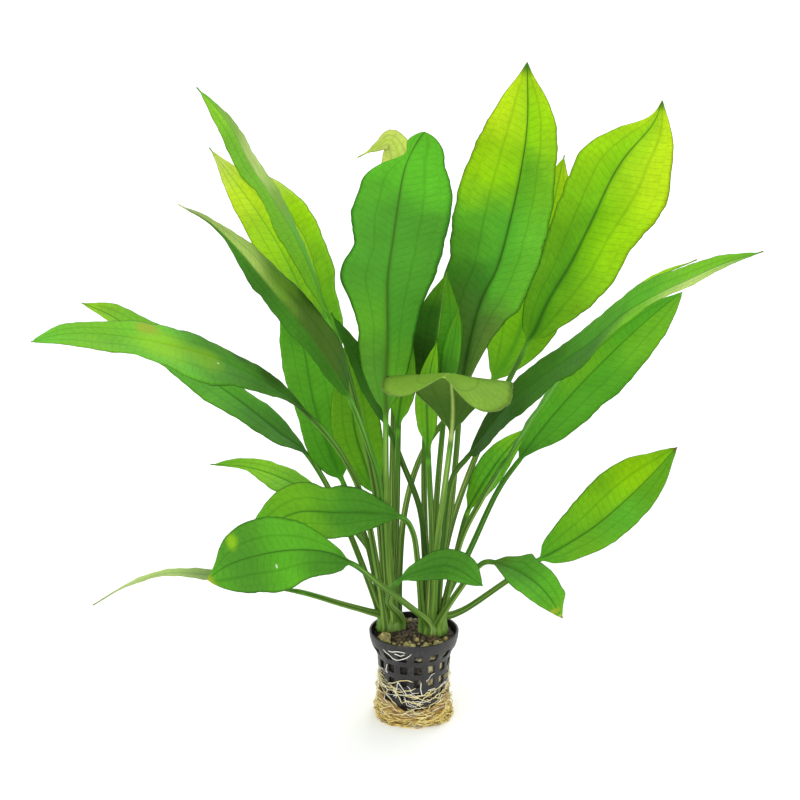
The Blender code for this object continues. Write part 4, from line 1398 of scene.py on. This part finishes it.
grid_turns = [0.0]
for column in range(WINDOW_COLUMNS):
    for k in range(1, WINDOW_STEPS + 1):
        grid_turns.append((column + WINDOW_SHARE * k / WINDOW_STEPS) / WINDOW_COLUMNS)
    for k in range(1, BAR_STEPS + 1):
        bar = WINDOW_SHARE + (1 - WINDOW_SHARE) * k / BAR_STEPS
        grid_turns.append((column + bar) / WINDOW_COLUMNS)
grid_heights = [POT_FLOOR_Z - 17.0, POT_FLOOR_Z - 9.0, POT_FLOOR_Z]
for row in range(WINDOW_ROWS - 1, -1, -1):
    window_top = WINDOW_TOP_Z - row * WINDOW_PITCH
    grid_heights += [window_top - WINDOW_HEIGHT * (1 - k / WINDOW_STEPS)
                     for k in range(WINDOW_STEPS + 1)]
grid_heights += [47.0, 48.0, 49.6, 51.0, 52.2, 53.0]
rolled_pot = pot_tree().run("net_pot_rolled", flat_grid("pot_grid", grid_turns, grid_heights), {
    "Columns": float(WINDOW_COLUMNS), "Window Share": WINDOW_SHARE, "Row Pitch": WINDOW_PITCH,
    "Window Height": WINDOW_HEIGHT, "Window Top": WINDOW_TOP_Z, "Material": black_plastic})
rolled_pot = modified("net_pot_moulded", rolled_pot, [
    ("SOLIDIFY", {"thickness": POT_WALL * MM, "offset": -1.0}),
    ("BEVEL", {"width": 0.22 * MM, "segments": 2, "limit_method": "ANGLE"}),
])
for face in rolled_pot.polygons:
    face.use_smooth = True
piece("net_pot_moulded", rolled_pot, black_plastic, ["net_pot"])

# %% [markdown]
# ## The growing medium
#
# The pot is stuffed with dark fibre and crumbs of stone. We see it through the windows and in
# the pot's mouth, where some large, yellow-brown lumps lie at the front. The body is a lumpy
# plug that fills the basket. Geometry nodes then strew crumbs on its top. We could displace one
# dense surface, but real crumbs overlap and throw small shadows.

# %% Fill the pot
MEDIUM_TOP_Z = 49.6
MEDIUM_RADIUS = 23.0         # of its open top
MOUND_HEIGHT = 4.5
MOUND_RADIUS = 21.0
PLUG_CLEARANCE = 0.5         # between the plug and the inside of the pot's wall


def lumps(x, y, z, size):
    """Return a slow, even rise and fall between -1 and 1 at a place, in millimetres."""
    a, b, c = x / size, y / size, z / size
    return (math.sin(a + 1.3 * math.sin(b)) + math.sin(1.7 * b + 0.9 * math.sin(c + a))
            + math.sin(1.3 * c + 1.1 * math.sin(a - b))) / 3.0


def turned(name, profile, steps, shape=None):
    """Turn a profile of (radius, height) round Z, shaping each point, and close both ends."""
    mesh = bmesh.new()
    loops = []
    for radius, height in profile:
        loop = []
        for k in range(steps):
            angle = 2 * math.pi * k / steps
            point = Vector((radius * math.cos(angle), radius * math.sin(angle), height))
            if shape:
                point = shape(point, angle)
            loop.append(mesh.verts.new(point * MM))
        loops.append(loop)
    for a, b in zip(loops, loops[1:]):
        for k in range(steps):
            n = (k + 1) % steps
            mesh.faces.new((a[k], a[n], b[n], b[k]))
    mesh.faces.new(loops[0])
    mesh.faces.new(loops[-1])
    return plain_mesh(name, mesh)


def mound(x, y):
    """Return how far the medium is heaped up at a place, highest in the middle."""
    return MOUND_HEIGHT * max(1.0 - (x * x + y * y) / MOUND_RADIUS ** 2, 0.0)


def medium_shape(point, angle):
    """Roughen the plug, most of all on its top."""
    x, y, z = point
    rise = 0.0
    if z > MEDIUM_TOP_Z - 2.0:
        rise = 1.2 * lumps(x, y, z, 2.6) + 0.5 * lumps(y, x, z, 1.1) + mound(x, y)
    out = 1.0 + 0.012 * lumps(x, y, z, 1.6)
    return Vector((x * out, y * out, z + rise))


plug_heights = [POT_FLOOR_Z + 1.6 + k * 1.9 for k in range(23)]
plug_profile = [(pot_radius(z) - POT_WALL - PLUG_CLEARANCE, z) for z in plug_heights]
plug_profile += [(MEDIUM_RADIUS + 0.6, MEDIUM_TOP_Z - 1.4), (MEDIUM_RADIUS + 0.4, MEDIUM_TOP_Z - 0.5)]
plug_profile += [(MEDIUM_RADIUS * (1 - k / 20), MEDIUM_TOP_Z) for k in range(20)]
plug = turned("growing_medium_filled", plug_profile, 96, medium_shape)
print("the plug is", round(plug_heights[-1] - plug_heights[0], 1), "mm deep under its top")

# %% [markdown]
# Through the windows the fibre is almost black at the left, but at the right pale young roots
# have threaded it. One noise, drawn out upwards, is fibre in both. Only its colours change.

# %% Mix the medium
def medium_finish():
    """Mix wet dark fibre with threads of pale root, more of them towards one side."""
    tree = Tree("dark_fibre")
    place = tree.place()
    stretched = tree.node("ShaderNodeMapping", {
        "Vector": place, "Scale": (1.0, 1.0, 0.28), "Rotation": (0.35, 0.2, 0.0)}).outputs[0]
    fibre = tree.noise(520.0, 6.0, stretched, 0.7)
    crumb = tree.noise(300.0, 4.0, place)
    earth = tree.ramp(fibre, [(0.3, paint(10, 8, 6)), (0.55, paint(34, 28, 20)),
                              (0.75, paint(96, 80, 54))])
    parts = tree.node("ShaderNodeSeparateXYZ", {0: place}).outputs
    lean = tree.math("MULTIPLY_ADD", parts[1], -0.6, parts[0])
    rooted = tree.fade(tree.math("MULTIPLY_ADD", crumb, 0.02, lean), 0.0235, 0.0285)
    below_top = tree.fade(parts[2], 0.042, 0.046, 1.0, 0.0)
    threads = tree.ramp(fibre, [(0.35, paint(112, 102, 66)), (0.62, paint(206, 196, 152))])
    colour = tree.mix(tree.math("MULTIPLY", rooted, below_top), earth, threads)
    height = tree.math("ADD", fibre, tree.math("MULTIPLY", crumb, 0.8))
    rough = tree.math("MULTIPLY_ADD", crumb, 0.3, 0.6)
    return tree.close(tree.skin(colour, rough, tree.bump(height, 0.0012, 0.9)))


dark_fibre = medium_finish()
piece("growing_medium_filled", plug, dark_fibre, ["growing_medium"])
print("filled the pot with", dark_fibre.name)

# %% [markdown]
# The crumbs are one small stone, repeated with its own turn, size and dents. A first sowing of
# many small dark ones covers the top, and a second one puts large yellow-brown lumps where the
# picture shows them, just inside the rim.

# %% Write the tree of the crumbs
FULL_TURN = 6.28             # a crumb may be turned by anything up to this


def crumb_tree(name, on_faces):
    """Write the tree that sets dented stones on faces at random, or on each point given."""
    g = Growth(name, {"Per Square Metre": "Float", "Smallest": "Float", "Largest": "Float",
                      "Dent": "Float", "Seed": "Int", "Material": "Material"})
    geometry, density, smallest, largest, dent, seed, material = list(g.given)[:7]
    points = geometry
    if on_faces:
        points = g.node("GeometryNodeDistributePointsOnFaces",
                        {0: geometry, 4: density, 6: seed}).outputs[0]
    stone = g.node("GeometryNodeMeshIcoSphere", {0: 1.0, 1: 2 if on_faces else 4}).outputs[0]
    turn = g.vector(*[g.chance(0.0, FULL_TURN, seed, step) for step in range(3)])
    size = g.chance(smallest, largest, seed, 3)
    flat = g.chance(0.55, 0.85, seed, 4)
    scale = g.vector(size, g.math("MULTIPLY", size, g.chance(0.7, 1.0, seed, 5)),
                     g.math("MULTIPLY", size, flat))
    placed = g.node("GeometryNodeInstanceOnPoints",
                    {0: points, 2: stone, 5: turn, 6: scale}).outputs[0]
    real = g.node("GeometryNodeRealizeInstances", {0: placed}).outputs[0]
    bumps = g.node("ShaderNodeTexNoise", {"Scale": 420.0, "Detail": 2.0}).outputs[0]
    push = g.scaled(g.node("GeometryNodeInputNormal").outputs[0],
                    g.math("MULTIPLY", g.math("SUBTRACT", bumps, 0.5), dent))
    g.close(g.move(real, offset=push), material)
    return g


print("a crumb may be turned about all three axes")

# %% [markdown]
# A crumb's colour follows a slow cloud and the grain that also gives it its relief, so it holds
# painted shade in its dents and painted light on its crests. One mix of two noises does for all of
# them. Only the two colours and the gleam differ between brown crumbs and yellow lumps.

# %% Mix the crumbs
def crumb_finish(name, dark, light, gleam):
    """Mix a crumb: painted shade in its dents, painted light on its crests, over an uneven tone."""
    tree = Tree(name)
    place = tree.place()
    grain = tree.noise(600.0, 5.0, place, 0.65)
    cloud = tree.noise(160.0, 2.0, place)
    # The grain that dents the bump also sets the colour: painted shade in the dents and painted light on
    # the crests; the cloud is the crumb's own uneven tone.
    share = tree.math("MULTIPLY_ADD", cloud, 0.6, tree.math("MULTIPLY", grain, 0.5))
    colour = tree.ramp(share, [(0.32, dark), (0.72, light)])
    rough = tree.math("MULTIPLY_ADD", grain, 0.35, gleam)
    return tree.close(tree.skin(colour, rough, tree.bump(grain, 0.0008, 0.8)))


crumb_brown = crumb_finish("crumb_brown", paint(22, 17, 12), paint(104, 86, 54), 0.5)
lump_yellow = crumb_finish("lump_yellow", paint(52, 42, 20), paint(188, 176, 104), 0.30)
print("mixed", crumb_brown.name, "and", lump_yellow.name)

# %% [markdown]
# The small crumbs are sown over a disc that is heaped up like the top of the plug. Sowing them
# on the plug itself would also put them on its sides, where the pot's wall is.

# %% Strew the crumbs
top_faces = bmesh.new()
bmesh.ops.create_grid(top_faces, x_segments=30, y_segments=30, size=MEDIUM_RADIUS)
outside = [v for v in top_faces.verts if v.co.length > MEDIUM_RADIUS]
bmesh.ops.delete(top_faces, geom=outside, context="VERTS")
for vert in top_faces.verts:
    vert.co = Vector((vert.co.x, vert.co.y, MEDIUM_TOP_Z + mound(vert.co.x, vert.co.y))) * MM
sowing_ground = bpy.data.meshes.new("sowing_ground")
top_faces.to_mesh(sowing_ground)
top_faces.free()

crumbs = crumb_tree("strew_crumbs", True).run("medium_crumbs", sowing_ground, {
    "Per Square Metre": 420000.0, "Smallest": 0.45 * MM, "Largest": 1.25 * MM,
    "Dent": 1.1 * MM, "Seed": 7, "Material": crumb_brown})
piece("medium_crumbs", crumbs, crumb_brown, [])

# %% [markdown]
# The lumps and the smaller chips lie where the picture shows them. A few more behind the stalks
# keep the back of the pot's mouth from looking swept.

# %% Set the lumps
LUMP_PLACES = [(-4.6, -18.2, 50.6), (-0.8, -19.4, 50.4), (7.2, -19.0, 50.4), (13.0, -16.6, 50.6),
               (1.5, -13.5, 51.6), (-2.0, 9.0, 53.8)]
CHIP_PLACES = [(-11.6, -16.2, 50.6), (-8.4, -18.8, 50.4), (-7.0, -15.6, 51.2), (-2.6, -16.0, 51.4),
               (2.6, -17.4, 51.0), (4.4, -19.8, 50.3), (4.6, -14.6, 51.6), (9.4, -16.6, 51.0),
               (10.4, -19.0, 50.3), (15.6, -14.8, 50.8), (-14.0, -13.8, 50.9), (0.4, -10.4, 52.6),
               (18.6, -9.0, 50.8), (1.0, 15.0, 52.4), (-19.4, -7.4, 50.8)]
BIG_LUMP_PLACE = (-16.8, -11.6, 52.2)
setting = crumb_tree("set_lumps", False)
for name, places, sizes in (("medium_lumps", LUMP_PLACES, (2.0, 2.9)),
                            ("medium_chips", CHIP_PLACES, (0.8, 1.7)),
                            ("medium_big_lump", [BIG_LUMP_PLACE], (4.2, 4.4))):
    stones = setting.run(name, points_mesh(name + "_places", places), {
        "Smallest": sizes[0] * MM, "Largest": sizes[1] * MM, "Dent": 2.4 * MM, "Seed": 3,
        "Material": lump_yellow})
    piece(name, stones, lump_yellow, [])

# %% [markdown]
# ## The roots
#
# The roots found their way out through the windows, ran down the pot and wound themselves round
# its foot until they made a mat that it stands on. Hair strands would be quick, but each root
# here is a real tube. The mat's body is a lumpy cup. Round it, geometry nodes lay arcs at
# random heights, push them about with noise, keep them off the pot and the ground, and give
# each a round section.

# %% Shape the felt
MAT_TOP_Z = 14.0
MAT_SWEEP = 4.0              # its edge is this much higher at the sides, lower in front
MAT_FLOOR_Z = 3.0            # the felt is this thick under the pot


def mat_shape(point, angle):
    """Make the felt uneven on its sides and its upper edge, and flat underneath."""
    x, y, z = point
    if z < 0.4:
        return point
    out = 1.0 + 0.03 * lumps(x, y, z, 3.1) + 0.015 * lumps(y, x, z, 1.2)
    share = min(max((z - 6.0) / (MAT_TOP_Z - 6.0), 0.0), 1.0)
    rise = share * (MAT_SWEEP * math.cos(2 * angle) + 0.8 * math.sin(8 * angle))
    return Vector((x * out, y * out, z + rise))


mat_outside = [(1.0, 0.0), (8.0, 0.0), (15.0, 0.0), (18.4, 0.1), (19.6, 0.9), (20.5, 2.4),
               (21.0, 4.4), (21.1, 6.4), (20.9, 8.6), (20.6, 11.0), (20.4, MAT_TOP_Z)]
mat_inside = [(20.1, MAT_TOP_Z - 0.6), (19.7, 8.0), (19.4, 4.0), (19.1, MAT_FLOOR_Z),
              (12.0, MAT_FLOOR_Z), (1.0, MAT_FLOOR_Z)]
mat = turned("root_mat_felt", mat_outside + mat_inside, 120, mat_shape)
print("the felt has", len(mat.polygons), "faces")

# %% [markdown]
# Young roots are white, older ones cream and then gold, and the felt between them is in shadow.
# They are one finish with four sets of colours. On the felt its streaks are drawn out level, so
# that the body itself looks wound.

# %% Mix the roots
def root_finish(name, shade, body, light, rows=1.0):
    """Mix a root: pale and streaked, with darker joints. `rows` draws the streaks out level."""
    tree = Tree(name)
    place = tree.node("ShaderNodeMapping", {
        "Vector": tree.place(), "Scale": (1.0, 1.0, rows)}).outputs[0]
    cloud = tree.noise(240.0, 3.0, place)
    streak = tree.noise(900.0, 4.0, place, 0.6)
    share = tree.math("ADD", tree.math("MULTIPLY", cloud, 0.8), tree.math("MULTIPLY", streak, 0.25))
    colour = tree.ramp(share, [(0.34, shade), (0.52, body), (0.70, light)])
    rough = tree.math("MULTIPLY_ADD", streak, 0.2, 0.45)
    return tree.close(tree.skin(colour, rough, tree.bump(streak, 0.0004, 0.6)))


gold_root = root_finish("gold_root", paint(150, 116, 50), paint(216, 192, 104),
                        paint(242, 230, 164))
cream_root = root_finish("cream_root", paint(180, 160, 98), paint(224, 210, 150),
                         paint(246, 240, 206))
white_root = root_finish("white_root", paint(198, 192, 172), paint(232, 230, 218),
                         paint(250, 250, 244))
felt_root = root_finish("felt_root", paint(66, 38, 16), paint(146, 114, 52),
                        paint(220, 196, 118), 6.0)
piece("root_mat_felt", mat, felt_root, ["root_mat"])
print("mixed four finishes for the roots")

# %% [markdown]
# Each wound root starts as an arc of a circle. The tree gives it a height, a radius, a heading
# and a tilt by chance, and a noise of its own then makes it wander. What would run into the pot
# is pushed out to its wall, and what would sink into the ground is lifted.

# %% Write the tree of the wound roots
ARC_POINTS = 44
WANDER_SHIFT = 3.7           # from one root to the next the noise is another one
LEAST_DISTANCE = 0.001       # metres from the axis, so that nothing is divided by nothing


def root_tree():
    """Write the tree that winds arcs round the foot of the pot and gives them a section."""
    g = Growth("wind_roots", {"Count": "Int", "Lowest": "Float", "Highest": "Float",
                              "Inner": "Float", "Outer": "Float", "Turn": "Float",
                              "Tilt": "Float", "Wander": "Float", "Thickness": "Float",
                              "Facing": "Float", "Spread": "Float", "Seed": "Int",
                              "Material": "Material"})
    (geometry, count, lowest, highest, inner, outer, turn, tilt, wander, thickness, facing,
     spread, seed, material) = list(g.given)[:14]

    def either_way(most, step):
        return g.chance(g.math("MULTIPLY", most, -1.0), most, seed, step)

    starts = g.node("GeometryNodeMeshLine", {0: count, 3: (0.0, 0.0, 0.0)}).outputs[0]
    starts = g.move(starts, position=g.vector(0.0, 0.0, g.chance(lowest, highest, seed, 1)))
    arc = g.node("GeometryNodeCurveArc", {0: ARC_POINTS, 4: 1.0, 6: turn},
                 mode="RADIUS").outputs[0]
    heading = g.vector(either_way(tilt, 2), either_way(tilt, 3),
                       g.math("ADD", facing, either_way(spread, 4)))
    size = g.chance(inner, outer, seed, 5)
    arcs = g.node("GeometryNodeInstanceOnPoints",
                  {0: starts, 2: arc, 5: heading, 6: g.vector(size, size, size)}).outputs[0]
    real = g.node("GeometryNodeRealizeInstances", {0: arcs}).outputs[0]
    drift = g.node("ShaderNodeTexNoise", {"Scale": 95.0, "Detail": 2.0},
                   noise_dimensions="4D")
    number = g.node("GeometryNodeInputIndex").outputs[0]
    strand = g.math("FLOOR", g.math("DIVIDE", number, float(ARC_POINTS)))
    g.tree.links.new(g.math("MULTIPLY", strand, WANDER_SHIFT), drift.inputs["W"])
    loose = g.move(real, offset=g.stray(drift.outputs["Color"], wander))
    x, y, z = g.parts(g.here())
    away = g.math("SQRT", g.math("ADD", g.math("MULTIPLY", x, x), g.math("MULTIPLY", y, y)))
    (foot_z, foot_radius), (neck_z, neck_radius) = POT_PROFILE[:2]
    pot = g.span(z, foot_z * MM, neck_z * MM, foot_radius * MM, neck_radius * MM)
    least = g.math("ADD", pot, g.math("MULTIPLY", thickness, 0.6))
    push = g.math("DIVIDE", least, g.math("MAXIMUM", away, LEAST_DISTANCE))
    push = g.math("MAXIMUM", push, 1.0)
    clear = g.vector(g.math("MULTIPLY", x, push), g.math("MULTIPLY", y, push),
                     g.math("MAXIMUM", z, thickness))
    kept = g.move(loose, position=clear)
    g.close(g.tube(kept, thickness, 6, 0.35, 0.09), material)
    return g


winding = root_tree()
print("a wound root is drawn through", ARC_POINTS, "points")

# %% [markdown]
# Five runs of the same tree give the layers: gold roots wound low and level, cream ones above
# them, white ones that straggle up the wall, and a thin fringe on each side, where the picture
# shows them climbing highest against the white.

# %% Wind the roots
IN_MM = ("Lowest", "Highest", "Inner", "Outer", "Wander", "Thickness")
FRINGE = dict(Count=70, Lowest=10.0, Highest=25.0, Inner=20.0, Outer=21.6,
              Turn=math.radians(34), Tilt=0.7, Wander=9.0, Thickness=0.10, Spread=0.45)
ROOT_LAYERS = [
    ("roots_wound_low", gold_root, dict(Count=80, Lowest=0.5, Highest=8.5, Inner=20.6,
     Outer=22.0, Turn=math.radians(70), Tilt=0.2, Wander=13.0, Thickness=0.33, Seed=11)),
    ("roots_wound_high", cream_root, dict(Count=130, Lowest=5.5, Highest=14.5, Inner=20.2,
     Outer=21.4, Turn=math.radians(38), Tilt=0.6, Wander=15.0, Thickness=0.28, Seed=29)),
    ("roots_straggling", white_root, dict(Count=70, Lowest=9.0, Highest=19.0, Inner=20.0,
     Outer=21.2, Turn=math.radians(24), Tilt=0.7, Wander=14.0, Thickness=0.17, Seed=53)),
    ("roots_on_the_left", cream_root, dict(FRINGE, Facing=math.radians(165), Seed=71)),
    ("roots_on_the_right", cream_root, dict(FRINGE, Facing=math.radians(-15), Seed=83)),
]
for name, finish, sizes in ROOT_LAYERS:
    given = {"Facing": 0.0, "Spread": math.pi, "Material": finish}
    for key, value in sizes.items():
        given[key] = value * MM if key in IN_MM else value
    wound = winding.run(name, points_mesh(name + "_start", [(0, 0, 0)]), given)
    piece(name, wound, finish, [])

# %% [markdown]
# Some white roots lie over the black front like pencil lines: a wide V under the collar with two
# strokes in it, and a gable, a hook and short ends lower down. Each is drawn through a few points
# on the pot's wall, given as a turn from the front in degrees and a height. A small tree
# then gives the lines their round section.

# %% Draw the white roots
FRONT_ROOT_RADIUS = 0.25
FRONT_ROOT_LIFT = 0.5        # of its middle line from the wall
FRONT_ROOT_STRAY = 0.9
FRONT_ROOTS = [
    [(-43, 49), (-37, 47), (-30, 44), (-25, 43), (-15, 45), (-7, 47), (-3, 49)],
    [(-35, 49), (-28, 49), (-20, 50), (-11, 49)],
    [(-26, 48), (-18, 47), (-12, 48)],
    [(-33, 19), (-26, 28), (-18, 24), (-11, 20)],
    [(-37, 18), (-25, 20), (-10, 20)],
    [(11, 29), (11, 23), (13, 20), (18, 20)],
    [(23, 23), (37, 23)],
    [(-67, 23), (-54, 23), (-48, 20)],
    [(-45, 38), (-49, 34), (-46, 32)],
]


def line_tree():
    """Write the tree that gives drawn lines a round section that thins at both ends."""
    g = Growth("draw_roots", {"Thickness": "Float", "Material": "Material"})
    geometry, thickness, material = list(g.given)[:3]
    curve = g.node("GeometryNodeMeshToCurve", {0: geometry}).outputs[0]
    even = g.node("GeometryNodeResampleCurve", {0: curve, 2: 60}).outputs[0]
    wobble = g.node("ShaderNodeTexNoise", {"Scale": 300.0, "Detail": 1.0}).outputs["Color"]
    bent = g.move(even, offset=g.stray(wobble, FRONT_ROOT_STRAY * MM))
    g.close(g.tube(bent, thickness, 8, 0.3, 0.08), material)
    return g


def drawn_lines(name, lines):
    """Return a mesh of lines on the pot's wall from their turns from the front and heights."""
    points = []
    edges = []
    for line in lines:
        for k, (turn, height) in enumerate(line):
            angle = math.radians(turn - 90.0)
            radius = pot_radius(height) + FRONT_ROOT_LIFT
            if k:
                edges.append((len(points) - 1, len(points)))
            points.append(Vector((radius * math.cos(angle), radius * math.sin(angle),
                                  height)) * MM)
    data = bpy.data.meshes.new(name)
    data.from_pydata(points, edges, [])
    return data


front_roots = line_tree().run("roots_on_the_front", drawn_lines("lines", FRONT_ROOTS), {
    "Thickness": FRONT_ROOT_RADIUS * MM, "Material": white_root})
piece("roots_on_the_front", front_roots, white_root, [])

# %% [markdown]
# ## The crowns
#
# At the bottom each stalk widens into a sheath that clasps its neighbours, so a crown looks like
# the foot of a leek. A plain dome would do for what little shows between the stalks. We turn a
# profile and groove it evenly, nine grooves round a crown, so that it reads as sheaths.

# %% Shape the crowns
CROWN_SHEATHS = 9            # round each crown
GROOVE_STEPS = 90            # points round a crown's profile
CROWN_PROFILE = [(1.0, 48.6), (6.4, 48.6), (7.6, 49.8), (8.2, 51.6), (8.1, 54.0), (7.4, 56.4),
                 (5.8, 58.2), (3.0, 59.0), (1.0, 59.2)]


def crown_mesh(name, centre, turn):
    """Turn one crown and groove it into sheaths."""
    def sheathed(point, angle):
        x, y, z = point
        ridge = abs(math.sin(CROWN_SHEATHS * angle / 2 + turn))
        out = 0.93 + 0.09 * ridge ** 0.6
        return Vector((centre[0] + x * out, centre[1] + y * out, z + 0.8 * ridge))
    return turned(name, CROWN_PROFILE, GROOVE_STEPS, sheathed)


print("a crown has", CROWN_SHEATHS, "sheaths")

# %% [markdown]
# A sheath is brown and torn where it leaves the medium and pale green above. The finish reads
# the height for that, and a noise drawn out upwards for the fibres.

# %% Mix the crowns and set them
def crown_finish():
    """Mix the sheaths: brown and torn at the bottom, pale green above, veined upwards."""
    tree = Tree("crown_sheath")
    place = tree.place()
    height = tree.node("ShaderNodeSeparateXYZ", {0: place}).outputs[2]
    tall = tree.node("ShaderNodeMapping", {
        "Vector": place, "Scale": (1.0, 1.0, 0.08)}).outputs[0]
    fibres = tree.noise(800.0, 3.0, tall)
    cloud = tree.noise(200.0, 3.0, place)
    level = tree.math("MULTIPLY_ADD", cloud, 0.008, height)
    colour = tree.ramp(tree.fade(level, 0.050, 0.061), [
        (0.0, paint(44, 34, 22)), (0.30, paint(96, 84, 40)), (0.6, paint(124, 148, 62)),
        (1.0, paint(112, 156, 56))])
    colour = tree.mix(tree.math("MULTIPLY", fibres, 0.45), colour, paint(86, 104, 44))
    rough = tree.math("MULTIPLY_ADD", fibres, 0.2, 0.4)
    return tree.close(tree.skin(colour, rough, tree.bump(fibres, 0.0008, 0.6)))


crown_sheath = crown_finish()
for name, centre, turn in (("crown_left", LEFT_CROWN, 0.3), ("crown_right", RIGHT_CROWN, 1.1)):
    made = crown_mesh(name + "_sheathed", centre, turn)
    piece(name + "_sheathed", made, crown_sheath, [name])
print("both crowns are in place")

# %% [markdown]
# ## Finish
#
# The last cell gathers the sizes of the solids and of the finished plant, and prints the finished
# plant's box.

# %% Finish
grown_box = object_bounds()
sizes = {"solids": [list(corner) for corner in cad_box],
         "finished": [list(corner) for corner in grown_box]}
print("the finished plant's box in mm:",
      [[round(v / MM, 1) for v in corner] for corner in grown_box])
